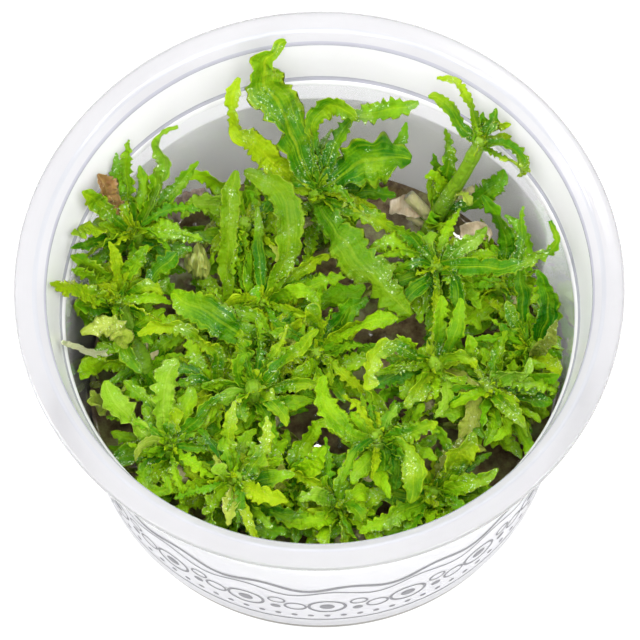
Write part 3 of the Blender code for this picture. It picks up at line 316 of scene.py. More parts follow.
# Each plantlet: its name, its stem as (x, y, z, radius) from the gel up, and its leaves.
# A leaf: tint, place along the stem, heading, reach, rise, arch, bend, width, widest place.
# A long or curled leaf: tint, twist, and its middle line as (x, y, z, width).
PLANTS = [
    ("back_rosette", [(0, 26, 15.5, 1.5), (0, 26, 25, 1.4), (0, 25.5, 36, 1.7), (0, 26, 38, 0.9)], [
        ("y", 0, [(0, 26.5, 36, 2.4), (-2.5, 29.5, 42, 4.6), (-5, 34, 49, 7.4), (-8, 37.5, 55, 6.4),
         (-8.5, 39.5, 59, 4.4), (-6.5, 40.5, 61, 1.4), (-5.5, 41.5, 62, 2), (-4.5, 42, 62, 0.6)]),
        ("y", 25, [(-1, 26.5, 36, 2.2), (-6, 29, 41, 3.8), (-9.5, 30.5, 46, 4.2), (-13, 32, 50, 2.8),
         (-14, 34, 54, 2), (-13.5, 36, 56, 2.4), (-12.5, 38, 57, 0.6)]),
        ("y", -20, [(0, 27, 36, 1.8), (0, 30.5, 43, 2), (-0.5, 33.5, 47, 2.4), (2, 35.5, 50, 4),
         (5.5, 34, 51, 2.6), (7, 33, 50, 0.8)]),
        ("g", 10, [(0.5, 27, 36, 2), (3, 31, 43, 3.2), (5.5, 34, 47, 2.6), (9, 35, 49, 3.2),
         (14, 34.5, 51, 3.2), (17.5, 35, 52, 0.8)]),
        ("g", 0.91, 12, 16.5, 6, 4, -30, 8, 0.6),
        ("d", 0.87, 4, 13.5, -2, 1, -25, 3.6, 0.4),
        ("y", 0.91, -26, 15, 0, 2.5, 15, 3, 0.7),
        ("g", 0.91, -56, 28, 2, 5.5, 45, 6.8, 0.6),
        ("y", 0.91, 180, 7.5, 0, 1, 70, 3.2, 0.6),
        ("d", 0.91, 98, 12, 8, 1.5, -55, 2.8, 0.4),
        ("d", 0.82, 36, 19, 8, -2, 70, 2.6, 0.7),
    ]),
    ("tall_stalk", [(18, 20.5, 15.5, 1.7), (19, 22.5, 24, 1.9), (20.8, 24, 31.5, 1.5),
         (25, 26, 43, 1.3), (27.5, 28, 50, 1.2), (28, 28.5, 51, 0.7)], [
        ("y", 0, [(27.5, 28.5, 50, 1.6), (26.5, 31.5, 54, 1.6), (25, 34, 57, 1.6),
         (23, 35.5, 58.5, 1.4), (20.5, 36, 59, 0.5)]),
        ("y", 0, [(27.5, 28.5, 50, 1.8), (24, 30.5, 53, 2.4), (22, 32.5, 56, 2), (20.5, 33.5, 57, 1.8),
         (19, 33.5, 57, 0.6)]),
        ("y", 0.98, 84, 3, 5, 0, 25, 1.4, 0.6),
        ("y", 0.98, 56, 4.5, 5, 0.5, 25, 2, 0.5),
        ("y", 0.98, 8, 5.5, 4, 0.5, -115, 2.2, 0.6),
        ("y", 20, [(28, 28, 49.6, 1.8), (31, 26, 53, 2), (33.5, 24.5, 53, 2), (34.5, 23, 50.5, 1.9),
         (34, 23, 47.5, 0.7)]),
        ("d", 0.51, 12, 10.5, 10, -0.5, 80, 3.6, 0.7),
        ("g", 0.51, 90, 7.5, 14, 0, 35, 2.4, 0.4),
        ("g", 0.48, 154, 4, 7, 2, 150, 2.2, 0.4),
        ("p", 0.54, -46, 5.5, 6, 3.5, -25, 1.9, 0.8),
        ("d", 0.48, 100, 8, 5, -0.5, 20, 2, 0.5),
    ]),
    ("back_left_shoot", [(-12.5, 24, 15.5, 1.3), (-12.5, 24, 28, 1.5), (-12.5, 24.5, 29, 0.8)], [
        ("g", 0.93, 156, 11, 9, 2, 100, 3.4, 0.4),
        ("w", 0.92, -174, 11, 5, 3, 85, 3.2, 0.5),
        ("d", 0.93, 70, 8.5, 6, 0.5, 130, 2.8, 0.5),
        ("d", 0.85, -88, 12.5, 0, 1.5, 25, 2.6, 0.5),
        ("o", 0.85, -148, 8, 0, 1, 115, 2.4, 0.5),
    ]),
    ("upper_left_rosette", [(-32, 17.5, 15.5, 1.4), (-31.5, 18, 27, 1.4), (-31, 18.5, 38, 1.8),
         (-31, 18.5, 40, 0.9)], [
        ("y", 0.92, 172, 8.6, 15, 0.5, 6, 3, 0.8),
        ("d", 0.92, 108, 10.5, 13, 0, -45, 2.4, 0.5),
        ("g", 0.92, 92, 11.5, 13, 0, -25, 2.6, 0.4),
        ("g", 0.92, 86, 9.5, 7, 0.5, 55, 2.4, 0.5),
        ("w", 35, [(-30.5, 19, 38, 1.8), (-27, 24, 43, 3), (-25.5, 27.5, 47, 2.6),
         (-26.5, 29.5, 50, 1.8), (-25.5, 31, 51, 0.9), (-23, 31.5, 52, 0.7)]),
        ("g", 0.92, 40, 14.5, 8, -0.5, -5, 2.8, 0.4),
        ("g", 0.92, 66, 10.5, 7, 0.5, 25, 2.8, 0.4),
        ("y", 0.92, -150, 11.5, 12, 0, 65, 3.2, 0.3),
        ("g", 0.88, -142, 12.5, 12, -1, 40, 2.4, 0.3),
        ("g", 0.92, -10, 11.5, 1, 2.5, -10, 3.8, 0.4),
        ("d", 0.88, -14, 10, 0, 1, 40, 2.6, 0.5),
        ("d", 0.88, 38, 8.5, 2, 0, -20, 3.4, 0.6),
        ("b", 0.88, 140, 8, 14.5, -0.5, 12, 3.4, 0.8),
    ]),
    ("left_rosette", [(-29.5, -2.5, 15.5, 1.8), (-30, -2, 25, 2.2), (-32, 2.5, 29, 1.8),
         (-34, 7, 35, 1.8), (-34, 7, 37, 0.9)], [
        ("y", 0.91, -150, 11.5, 21.5, -1, 55, 3, 0.3),
        ("y", 0.92, 162, 8, 13, 0, 85, 3.4, 0.4),
        ("g", 0.91, 178, 7.5, 12.5, -0.5, 95, 2.4, 0.5),
        ("y", 0.92, 102, 7, 10, 0.5, 45, 2.2, 0.5),
        ("g", 0.92, 48, 8.5, 9, 0.5, -35, 3, 0.4),
        ("g", 0.90, 34, 12, 6.5, 1, 15, 3.2, 0.8),
        ("y", 0.90, 0, 7.5, 3.5, 2.5, -45, 2.8, 0.5),
        ("d", 0.90, -158, 7.5, 7.5, -1, 10, 3, 0.5),
        ("d", 0.86, -154, 5, 1, -1.5, 20, 3.2, 0.4),
        ("g", 0.89, -14, 4.5, -1.5, 0.5, -5, 2.6, 0.6),
        ("p", 0, [(-32, 2, 30, 2), (-34, -1, 33, 2.8), (-33, 0, 37, 3.2), (-35, 1, 40, 3.2),
         (-37.5, 0, 41, 2.6), (-40, -1, 41, 0.9)]),
        ("g", 0.37, 24, 8, 6, 2, -60, 3, 0.5),
        ("g", 0.40, -142, 12.5, 13.5, 1.5, 75, 3.4, 0.7),
        ("p", 0.33, -132, 15.5, 17, -1, -15, 3.8, 0.7),
        ("r", 0, [(-32.5, 2, 29, 1.2), (-37.5, -3, 37, 1.1), (-40.5, -5, 45, 1), (-43.5, -7, 51, 0.8)]),
    ]),
    ("mid_left_shoot", [(-16, 8, 15.5, 1.2), (-15.5, 8.5, 24, 1.5), (-15.5, 8.5, 25, 0.9)], [
        ("y", 0.90, 84, 19.5, 18, 3.5, -15, 3.4, 0.7),
        ("d", 0.89, 46, 7, 3, 0.5, 50, 2.6, 0.4),
    ]),
    ("glossy_leaf_shoot", [(-7.5, 0.5, 15.5, 1.2), (-7.5, 1, 30, 1.6), (-7.5, 1, 31, 0.9)], [
        ("g", 0.94, 158, 18.5, 8, 4.5, -60, 5.8, 0.5),
        ("p", 0.94, -24, 5, 1, 1.5, -35, 2.6, 0.5),
        ("d", 0.87, -178, 8.5, 2, 1, -30, 3, 0.5),
    ]),
    ("centre_shoot", [(-10, 9, 15.5, 1.2), (-9.5, 9.5, 27, 1.6), (-9.5, 9.5, 28.5, 0.9)], [
        ("y", 0.96, 100, 19.5, 12, 5.5, 125, 5, 0.6),
        ("g", 0.96, 100, 14.5, 8, 1.5, -10, 2.2, 0.4),
        ("p", 0.96, 86, 8.5, 6, 1, 150, 2.2, 0.4),
        ("y", 0.96, 26, 13, 6, 2, -15, 3, 0.5),
        ("g", 0.96, 10, 14.5, 6, 0.5, 10, 3, 0.4),
        ("d", 0.88, 8, 17.5, 2, 0.5, 35, 4.2, 0.7),
        ("g", 0.88, -26, 7, 1, 1.5, 60, 2.6, 0.5),
    ]),
    ("centre_front_shoot", [(-0.5, -2, 15.5, 1.3), (-0.5, -1.5, 31, 1.7), (-0.5, -1.5, 32.5, 0.9)], [
        ("y", 0.97, 130, 4, 10, 2, 120, 3.8, 0.8),
        ("g", 0.91, -4, 7.5, 5, 1.5, 25, 2, 0.4),
        ("g", 0.97, 12, 14, 6, 2.5, -20, 3.2, 0.7),
        ("g", 0.91, -132, 7.5, 3, 1.5, -70, 3, 0.6),
        ("d", 0.91, 46, 13, 1, 0.5, -40, 3.8, 0.5),
    ]),
    ("right_centre_shoot", [(20.5, 11.5, 15.5, 1.3), (20, 12, 35, 1.7), (20, 12, 36.5, 0.9)], [
        ("w", 0.98, 22, 9, 8, 1, 20, 3, 0.5),
        ("y", 0, [(20.5, 11.5, 36, 2.2), (25, 9.5, 41, 3.2), (29.5, 8, 43, 3), (33.5, 8, 45, 2.4),
         (37, 8, 48, 1.8), (39.5, 9, 51, 1.3), (38.5, 12, 53, 0.7)]),
        ("g", 0.93, -128, 9.5, 3, 1.5, -20, 3, 0.6),
        ("g", 0.93, 170, 11.5, 4, 2.5, 45, 3, 0.4),
        ("y", 0.98, 148, 10, 6, 2, 20, 2.6, 0.4),
        ("g", 0.93, -74, 11, 1, 3, -60, 3.4, 0.5),
        ("g", 0.93, -104, 8.5, 0, 1, 0, 2.8, 0.6),
        ("w", 0.98, 80, 4, 5, 0.5, -150, 2.2, 0.5),
    ]),
    ("right_mid_rosette", [(19, -7, 15.5, 1.4), (19, -6.5, 35, 1.8), (18.5, -6.5, 37, 1)], [
        ("y", 0.95, -20, 7.5, 4, 3, -45, 2.2, 0.5),
        ("y", 0.95, -122, 9.5, 2, 2, -25, 3.4, 0.5),
        ("y", 0.91, -96, 6.5, 2, 1, 30, 2.4, 0.7),
        ("g", 0.95, 80, 9.5, 8, 1, 0, 3.2, 0.5),
        ("g", 0.95, 66, 10.5, 7, 1, 75, 2.8, 0.5),
        ("d", 0.91, -158, 11.5, 2, 2, 20, 3.4, 0.5),
        ("w", 0.91, -96, 9.5, 1, 1.5, -100, 2.6, 0.4),
        ("g", 0.95, 150, 6.5, 5, 0, 10, 2.8, 0.6),
        ("y", 0, [(18.5, -6, 36, 1.8), (14, -6, 42, 2.4), (10, -7, 45, 2.8), (8, -10, 45, 2.6),
         (7.5, -13, 44, 2), (9.5, -12.5, 44, 0.7)]),
        ("o", 0.86, -76, 12.5, -2, 2, -130, 3.4, 0.7),
    ]),
    ("right_back_shoot", [(31.5, 12, 15.5, 1.3), (31, 12, 26, 1.6), (31, 12.5, 27.5, 0.9)], [
        ("d", 0.88, 108, 11.5, 14, 1, 85, 3.6, 0.4),
        ("d", 0.87, -102, 6.5, 0, 1, 85, 3.2, 0.5),
        ("d", 0.88, 90, 9.5, 10, 1.5, 150, 3, 0.3),
        ("g", 0.88, 150, 7.5, 5, 1, 35, 3, 0.6),
    ]),
    ("right_wall_shoot", [(36, -2, 15.5, 1.4), (35.5, -1.5, 30, 1.7), (35, -1.5, 32, 1)], [
        ("d", 0.88, 90, 8, 16, 1, 115, 3.8, 0.4),
        ("o", 0.88, -8, 4.5, 16, -0.5, 150, 2.4, 0.5),
        ("g", 0.88, 92, 19.5, 16, 1, -25, 2.4, 0.3),
        ("y", 0.88, 154, 5.5, 7, 0.5, -45, 2.4, 0.6),
        ("y", 0.88, 124, 7, 8, 0.5, -15, 2.2, 0.7),
        ("y", 0.88, -60, 9, 7, 0.5, -20, 2.6, 0.5),
    ]),
    ("right_front_rosette", [(29, -10.5, 15.5, 1.4), (28, -10, 34, 1.7), (28, -10, 35.5, 1)], [
        ("y", 0.92, -56, 10.5, 4, 2.5, 15, 2.6, 0.5),
        ("w", 0, [(28.5, -9.5, 34, 2), (30, -9, 37, 3.2), (32, -9, 39, 2.4), (34, -10, 40, 1.8),
         (35, -7.5, 41, 0.7)]),
        ("d", 0.87, -94, 8, -1, 1.5, 55, 3.6, 0.5),
        ("g", 0.93, 178, 7, 1, 1.5, 50, 3.2, 0.5),
        ("g", 0.93, 114, 8, 6, 0.5, -5, 2.6, 0.6),
        ("y", 0.93, 68, 8.5, 6, 0.5, -5, 2.4, 0.6),
        ("d", 0.87, -20, 11.5, 3, -0.5, -20, 4, 0.4),
        ("d", 0.87, 0, 11.5, 6, -1, -15, 3.8, 0.5),
        ("g", 0.87, -92, 10, 2, 1, -100, 2.2, 0.6),
        ("d", 0.82, -46, 10, 0, 0, 15, 3.4, 0.7),
        ("g", 0.75, -62, 14, 2, 1, -20, 3.4, 0.5),
    ]),
    ("front_right_rosette", [(9.5, -20, 15.5, 1.5), (9, -19, 34, 1.9), (9, -19, 36, 1)], [
        ("y", 0.95, 0, 10, 7, 1, 25, 3, 0.4),
        ("y", 0.95, -70, 13.5, 2, 3, -90, 4, 0.7),
        ("d", 0.90, -92, 6.5, -2, 1, -70, 3.8, 0.5),
        ("g", 0.95, 130, 12.5, 7, 2, -130, 4, 0.6),
        ("w", 0.95, 52, 5.5, 4, 1, 0, 1.8, 0.5),
        ("g", 0.95, 136, 6, 2, 1, -10, 2.4, 0.5),
        ("g", 0.90, -126, 8, -2, 1, -35, 3, 0.5),
        ("d", 0.85, -76, 8.5, -1, 1.5, -90, 3.6, 0.6),
    ]),
    ("front_right_low_shoot", [(19, -26.5, 15.5, 1.4), (18.5, -26, 27, 1.8), (18.5, -25.5, 28.5, 1)], [
        ("y", 0.96, 40, 8.5, 12, 1.5, 10, 5, 0.4),
        ("g", 0.96, 6, 10.5, 7, 1, 45, 3, 0.4),
        ("g", 0.88, -150, 15, 3, 2.5, -30, 3.4, 0.4),
        ("y", 0.96, -74, 4, 3, 1, 100, 1.8, 0.7),
        ("g", 0.96, 96, 10, 7, 1, 90, 2.4, 0.4),
        ("d", 0.88, -162, 7, -1, 0.5, 30, 3.6, 0.5),
        ("o", 0.96, 24, 10, 6, 2, -120, 2.2, 0.6),
    ]),
    ("front_low_shoot", [(2.5, -28.5, 15.5, 1.3), (2.5, -28, 27, 1.6), (2.5, -28, 28.5, 0.9)], [
        ("w", 0.96, -172, 7, 5, 3, 25, 2.6, 0.5),
        ("g", 0.96, 66, 6, 6, 1, -30, 2.8, 0.5),
        ("y", 0.96, -48, 5.5, 3, 2.5, -25, 2.6, 0.7),
        ("g", 0.88, -152, 7.5, 2, 1, -35, 3, 0.6),
        ("d", 0.81, -132, 5.5, 0, 1, -90, 3, 0.5),
    ]),
    ("front_olive_shoot", [(-5.5, -24.5, 15.5, 1.2), (-5.5, -23.5, 23, 1.5),
         (-5.5, -23.5, 24.5, 0.9)], [
        ("g", 0.94, 34, 7, 10, 1.5, 10, 3.6, 0.5),
        ("o", 0.94, 100, 3.5, 4, 1, -150, 3, 0.5),
        ("d", 0.83, 34, 6, 4, 1, 125, 3.8, 0.5),
        ("g", 0.95, 88, 7, 6, 0.5, -150, 3, 0.6),
        ("g", 0.9, 60, 12, 6, 1.5, -40, 3.4, 0.5),
    ]),
    ("front_mid_rosette", [(-12, -10, 15.5, 1.4), (-11.5, -9.5, 34, 1.7), (-11.5, -9, 35.5, 0.9)], [
        ("y", 0.93, 28, 12.5, 12, 1, 10, 3, 0.4),
        ("y", 0.92, -12, 12.5, 5, 1.5, -35, 2.4, 0.4),
        ("g", 0.92, 90, 5, 6, 1, -150, 2.6, 0.4),
        ("w", 0.92, -160, 6.5, 2, 1, -10, 2.8, 0.6),
        ("y", 0.92, -54, 9, 2, 2, -30, 2.8, 0.4),
        ("y", 0.92, -96, 6.5, 2, 1, 85, 2.6, 0.6),
        ("g", 0.87, -8, 8, 1, 0.5, 75, 3, 0.6),
        ("w", 0.93, 110, 5.5, 1, 0.5, 150, 3, 0.5),
    ]),
    ("front_rosette", [(-15.5, -26.5, 15.5, 1.4), (-15, -25.5, 33, 1.8), (-15, -25.5, 35, 1)], [
        ("y", 0.95, 86, 11.5, 7, 1, -30, 2.6, 0.4),
        ("y", 0.95, 60, 10.5, 7, 1, 100, 2.6, 0.4),
        ("g", 0.90, 76, 6.5, 5, 0.5, 150, 2.6, 0.4),
        ("p", 0.95, -96, 9, 3, 0.5, 0, 2.4, 0.5),
        ("g", 0.95, -130, 8, 1, 0.5, 20, 3.2, 0.5),
        ("y", 0.95, -30, 10.5, 4, 1.5, 30, 3, 0.5),
        ("w", 0.95, -178, 3.5, 4, 1.5, 30, 2.2, 0.6),
        ("g", 0.85, -22, 13.5, 0, 1.5, 65, 3.8, 0.4),
        ("p", 0.95, 124, 5, 2, 1, -35, 2, 0.5),
        ("d", 0.79, -40, 11.5, -1, -0.5, 55, 3.6, 0.6),
    ]),
    ("front_left_mid_shoot", [(-18, -7.5, 15.5, 1.3), (-17.5, -7, 30, 1.7), (-17.5, -7, 31.5, 0.9)], [
        ("y", 0, [(-17.5, -6.5, 30, 1.8), (-17.5, -4, 37, 2.4), (-20, -2.5, 41, 2.4),
         (-23.5, -1, 43, 2.2), (-27.5, -1, 42, 2), (-30.5, -1.5, 41, 0.7)]),
        ("g", 0.91, 110, 10, 6, 2, -60, 2.8, 0.4),
        ("g", 0.91, 64, 5.5, 5, 0.5, 95, 2.8, 0.5),
        ("g", 0.90, -176, 5.5, 5, 0.5, -60, 2.6, 0.5),
        ("y", 0.90, -150, 5.5, 3, 0, -135, 3, 0.6),
    ]),
    ("front_left_rosette", [(-26, -20, 15.5, 1.5), (-25.5, -18.5, 32, 1.9), (-25.5, -18.5, 34, 1)], [
        ("y", 0.95, 32, 11.5, 7, 1.5, -10, 2.6, 0.4),
        ("y", 0.95, 84, 4.5, 6, 0.5, 35, 2.6, 0.6),
        ("w", 0.95, 82, 12.5, 8, 1.5, -50, 4.2, 0.7),
        ("w", 0.94, 136, 14, 7, 1.5, -70, 4, 0.7),
        ("g", 0.94, 128, 12.5, 5, 0.5, 35, 3.2, 0.4),
        ("y", 0.94, -54, 9, 0, 1, 0, 2.2, 0.5),
        ("g", 0.94, -176, 7, 4, 0, -60, 2, 0.0),
        ("p", 0.94, -142, 7, 3, 2.5, 90, 1.6, 0.0),
        ("d", 0.89, 10, 9.5, -1, 2, -65, 3, 0.4),
        ("g", 0, [(-26, -19, 31, 1.8), (-30, -23, 34, 2.4), (-29, -27, 35, 2.2), (-26, -27.5, 36, 1.8),
         (-26, -25.5, 37, 0.7)]),
        ("g", 0.95, 68, 10, 3, 0.5, 5, 3.6, 0.6),
        ("d", 0.80, -165, 12, 2, 1, 30, 3.4, 0.5),
    ]),
]

# Old leaf pieces that lie loose: name, thickness, middle line as (x, y, z, width)
LOOSE = [
    ("brown_strap", 1.0, [(-19, 28.5, 33, 1.6), (-22, 27.5, 32, 3), (-24.5, 25.5, 30, 3.2),
     (-25, 24.5, 29, 1.8)]),
    ("olive_clump", 3.0, [(-23, 16.5, 30, 3.4), (-20.5, 16, 31, 5.4), (-18.5, 15.5, 30, 3)]),
    ("tan_chip_back", 0.7, [(12.5, 26, 30, 2.8), (15, 25.5, 30.5, 5.2), (17.8, 25.5, 30, 3.4)]),
    ("tan_chip_mid", 0.7, [(15.5, 18, 30, 2.6), (17.5, 17.5, 30.5, 4.2), (19.5, 16.5, 30, 2.4)]),
    ("tan_chip_right", 0.7, [(24.5, 21, 30, 2.4), (27, 20.5, 31, 4), (29.5, 19.5, 30, 2)]),
]


def bore(z):
    """Inner radius of the cup at a height."""
    knots = [(FLOOR, FLOOR_RADIUS), (NARROW_HEIGHT, NARROW_RADIUS), (STEP_HEIGHT, STEP_RADIUS),
             (MOUTH_HEIGHT, MOUTH_RADIUS), (CUP_HEIGHT, MOUTH_RADIUS + 2.0)]
    for (z0, r0), (z1, r1) in zip(knots, knots[1:]):
        if z <= z1:
            return r0 + (r1 - r0) * max(z - z0, 0.0) / (z1 - z0)
    return knots[-1][1]


def along(route, place):
    """Point and width at a share of a route's length."""
    run = [0.0]
    for a, b in zip(route, route[1:]):
        run.append(run[-1] + (Vector(b[:3]) - Vector(a[:3])).length)
    s = run[-1] * place
    i = 0
    while i < len(route) - 2 and s > run[i + 1]:
        i += 1
    f = (s - run[i]) / (run[i + 1] - run[i])
    a = Vector(route[i][:3])
    b = Vector(route[i + 1][:3])
    return a.lerp(b, f), route[i][3] + (route[i + 1][3] - route[i][3]) * f


def smooth_route(route, count):
    """Stations of (place, width) on a smooth curve through a leaf's middle line."""
    pts = [Vector(p[:3]) for p in route]
    pts = [pts[0] * 2.0 - pts[1]] + pts + [pts[-1] * 2.0 - pts[-2]]
    out = []
    last = len(route) - 1
    for k in range(count + 1):
        s = last * k / count
        i = min(int(s), last - 1)
        f = s - i
        p0, p1, p2, p3 = pts[i:i + 4]
        at = p1 * 2.0 + (p2 - p0) * f + (p0 * 2.0 - p1 * 5.0 + p2 * 4.0 - p3) * f * f
        at = (at + (p1 * 3.0 - p0 - p2 * 3.0 + p3) * f ** 3) * 0.5
        out.append((at, route[i][3] + (route[i + 1][3] - route[i][3]) * f))
    return out


def leaf_width(t, widest):
    """Share of a leaf's full width at a place along it."""
    if t < widest:
        return 0.3 + 0.7 * math.sin(0.5 * math.pi * t / widest)
    return 0.14 + 0.86 * math.cos(0.5 * math.pi * (t - widest) / (1.0 - widest)) ** 0.8


def arc_route(root, heading, reach, rise, arch, bend, width, widest, count):
    """Stations of (place, width) of a leaf that leaves its root in an arc."""
    turn = math.radians(bend) if abs(bend) > 1 else math.radians(1.0)
    start = math.radians(heading) - turn * 0.5
    radius = reach / (2.0 * math.sin(turn * 0.5))
    out = []
    for k in range(count + 1):
        t = k / count
        x = radius * (math.sin(start + turn * t) - math.sin(start))
        y = radius * (math.cos(start) - math.cos(start + turn * t))
        z = rise * t + arch * 4.0 * t * (1.0 - t)
        out.append((root + Vector((x, y, z)), width * leaf_width(t, widest)))
    return out


def leaf_route(stem, leaf, count):
    """Stations of any leaf in the plan, and its twist."""
    if len(leaf) == 3:
        return [(at, width * BREADTH) for at, width in smooth_route(leaf[2], count)], leaf[1]
    tint, place, heading, reach, rise, arch, bend, width, widest = leaf
    root, radius = along(stem, place)
    start = math.radians(heading - bend * 0.5)
    out = Vector((math.cos(start), math.sin(start), 0.0)) * (radius * 0.55)
    line = arc_route(root + out, heading, reach - radius * 0.5, rise, arch, bend,
                     width * BREADTH, max(widest, 0.3), count)
    return line, 0.0


def leaf_count(leaf):
    """Few stations for a short leaf, more for a long or curled one."""
    if len(leaf) == 3:
        return len(leaf[2]) - 1
    return 3 if leaf[3] < 13.0 and abs(leaf[6]) < 100 else 4


def frames(line, twist):
    """Side and face directions along a line, the face turned to the front view."""
    out = []
    last = Vector((1.0, 0.0, 0.0))
    for k in range(len(line)):
        t = (line[min(k + 1, len(line) - 1)][0] - line[max(k - 1, 0)][0]).normalized()
        side = t.cross(NEAR)
        if side.length < 0.25:
            side = last - t * last.dot(t)
        side.normalize()
        if k and side.dot(last) < 0.0:
            side = -side
        last = side
        face = side.cross(t)
        c = math.cos(math.radians(twist))
        s = math.sin(math.radians(twist))
        out.append((side * c + face * s, face * c - side * s))
    return out


def blade(line, twist, thick, grow=0.0):
    """Closed blade with a keel below, as vertices and faces."""
    dirs = frames(line, twist)
    verts = []
    faces = []
    tip = len(line) - 1
    for (at, width), (side, face) in zip(line[:tip], dirs):
        keel = min(thick, KEEL + width * KEEL_SHARE) + grow
        verts.append(at - side * (width * 0.5 + grow) + face * (LEAF_RIM + grow))
        verts.append(at - face * keel)
        verts.append(at + side * (width * 0.5 + grow) + face * (LEAF_RIM + grow))
    verts.append(line[tip][0])
    for k in range(tip - 1):
        for j in range(3):
            a = 3 * k + j
            b = 3 * k + (j + 1) % 3
            faces.append((b, a, a + 3, b + 3))
    for j in range(3):
        faces.append((3 * (tip - 1) + (j + 1) % 3, 3 * (tip - 1) + j, 3 * tip))
    faces.append((0, 1, 2))
    return verts, faces


def skin(first, rows, size):
    """Faces between rings of points that follow each other."""
    faces = []
    for i in range(rows - 1):
        for j in range(size):
            a = first + i * size + j
            b = first + i * size + (j + 1) % size
            faces.append((a, b, b + size, a + size))
    return faces


def circle(count, radius=1.0):
    """Points of a level circle, from the right round by the back."""
    turns = [2.0 * math.pi * k / count for k in range(count)]
    return [(radius * math.cos(a), radius * math.sin(a)) for a in turns]


def stalk(stem, sides=5):
    """Closed tube along a stem."""
    line = [(Vector(p[:3]), p[3]) for p in stem]
    dirs = frames(line, 0.0)
    verts = []
    for (at, radius), (side, face) in zip(line, dirs):
        for x, y in circle(sides):
            verts.append(at + (side * x + face * y) * radius)
    faces = skin(0, len(line), sides)
    faces.append(tuple(range(sides - 1, -1, -1)))
    faces.append(tuple(range(sides * (len(line) - 1), sides * len(line))))
    return verts, faces


def star(root, tips):
    """Closed star of pointed leaves round a stem, as vertices and faces."""
    verts = [root + Vector((0.0, 0.0, WHORL_THICK)), root - Vector((0.0, 0.0, WHORL_THICK))]
    faces = []
    n = len(tips)
    for k, tip in enumerate(tips):
        nxt = tips[(k + 1) % n]
        verts.append(tip)
        a = math.atan2((tip - root).y, (tip - root).x)
        b = math.atan2((nxt - root).y, (nxt - root).x)
        b += 2.0 * math.pi if b < a else 0.0
        notch = Vector((math.cos((a + b) * 0.5), math.sin((a + b) * 0.5), 0.0))
        verts.append(root + notch * WHORL_NOTCH)
    for k in range(2 * n):
        a = 2 + k
        b = 2 + (k + 1) % (2 * n)
        faces.append((0, a, b))
        faces.append((1, b, a))
    return verts, faces


def inside(line):
    """Push a line off the cup's wall and off the gel."""
    out = []
    for at, width in line:
        keep = Vector(at)
        keep.z = max(keep.z, GEL_TOP + LEAF_LIFT)
        limit = bore(keep.z) - WALL_CLEAR - width * 0.3
        r = math.hypot(keep.x, keep.y)
        if r > limit:
            keep.x *= limit / r
            keep.y *= limit / r
        out.append((keep, width))
    return out


def tree_of(shape):
    """Search tree of a closed shape."""
    verts, faces = shape
    return BVHTree.FromPolygons([tuple(v) for v in verts], faces, epsilon=0.0)


def meets(shape, others):
    """Whether a shape cuts any of the others' trees."""
    tree = tree_of(shape)
    return any(tree.overlap(other) for other in others)


def moved(line, turn, step):
    """Turn a leaf about its root and lift its free part towards the front view."""
    root = line[0][0]
    spin = Matrix.Rotation(math.radians(turn), 3, "Z")
    out = []
    for k, (at, width) in enumerate(line):
        f = min(1.0, k / (0.45 * (len(line) - 1)))
        f = f * f * (3.0 - 2.0 * f)
        out.append((root + spin @ (at - root) + NEAR * (step * f), width))
    return out


def find_room(line, twist, others):
    """The smallest turn and lift that keeps a leaf off the other plantlets."""
    for turn in TURNS:
        for step in STEPS:
            trial = inside(moved(line, turn, step))
            if not meets(blade(trial, twist, LEAF_THICK, CLEAR * 0.5), others):
                return turn, step
    return None


def settle_leaves():
    """Place every leaf, low ones first; one that meets another plantlet gives way."""
    placed = [(name, tree_of(stalk(stem))) for name, stem, leaves in PLANTS]
    for name, thick, route in LOOSE:
        placed.append((name, tree_of(blade(smooth_route(route, 4), 0.0, thick))))
    jobs = []
    for name, stem, leaves in PLANTS:
        for number, leaf in enumerate(leaves):
            line, twist = leaf_route(stem, leaf, leaf_count(leaf))
            jobs.append((sum(at.z for at, width in line) / len(line), name, number, line, twist))
    jobs.sort(key=lambda job: job[:3])
    out = {}
    for high, name, number, line, twist in jobs:
        others = [tree for owner, tree in placed if owner != name]
        room = find_room(line, twist, others)
        if room is None:
            print("no room", name, number)
            continue
        out[name, number] = room
        line = inside(moved(line, *room))
        placed.append((name, tree_of(blade(line, twist, LEAF_THICK, CLEAR * 0.5))))
    return out, placed


def settle_whorls(placed):
    """Lower leaves in whorls; each is as long as the room round it allows."""
    out = {}
    for row, (name, stem, leaves) in enumerate(PLANTS):
        for number, (place, count, reach, rise) in enumerate(WHORLS):
            root, radius = along(stem, place)
            if root.z > WHORL_TOP or name == BARE_STALK:
                continue
            others = [tree for owner, tree in placed if owner != name]
            tips = []
            for k in range(count):
                heading = math.radians(360.0 * k / count + GOLDEN * (row + 2 * number))
                for share in WHORL_SHARES:
                    side = Vector((math.cos(heading), math.sin(heading), 0.0))
                    tip = root + side * (reach * share) + Vector((0.0, 0.0, rise * share))
                    middle = root.lerp(tip, 0.5)
                    line = inside([(root + side * 0.5, 1.6), (middle, 1.6), (tip, 0.3)])
                    if not meets(blade(line, 0.0, 0.9, CLEAR), others):
                        break
                tips.append(line[-1][0])
            out[name, number] = (root, tips)
            placed.append((name, tree_of(star(root, tips))))
    return out


def piece(name, verts, faces, looks, node, unit=MM):
    """Smooth mesh from places in millimetres that stands for CAD nodes."""
    mesh = bpy.data.meshes.new(name)
    mesh.from_pydata([tuple(Vector(v) * unit) for v in verts], [], faces)
    for look in looks:
        mesh.materials.append(look)
    mesh.shade_smooth()
    mesh.update()
    obj = bpy.data.objects.new(name, mesh)
    bpy.context.scene.collection.objects.link(obj)
    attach(obj, "root")
    if node:
        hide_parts(node)
    return obj


# Materials

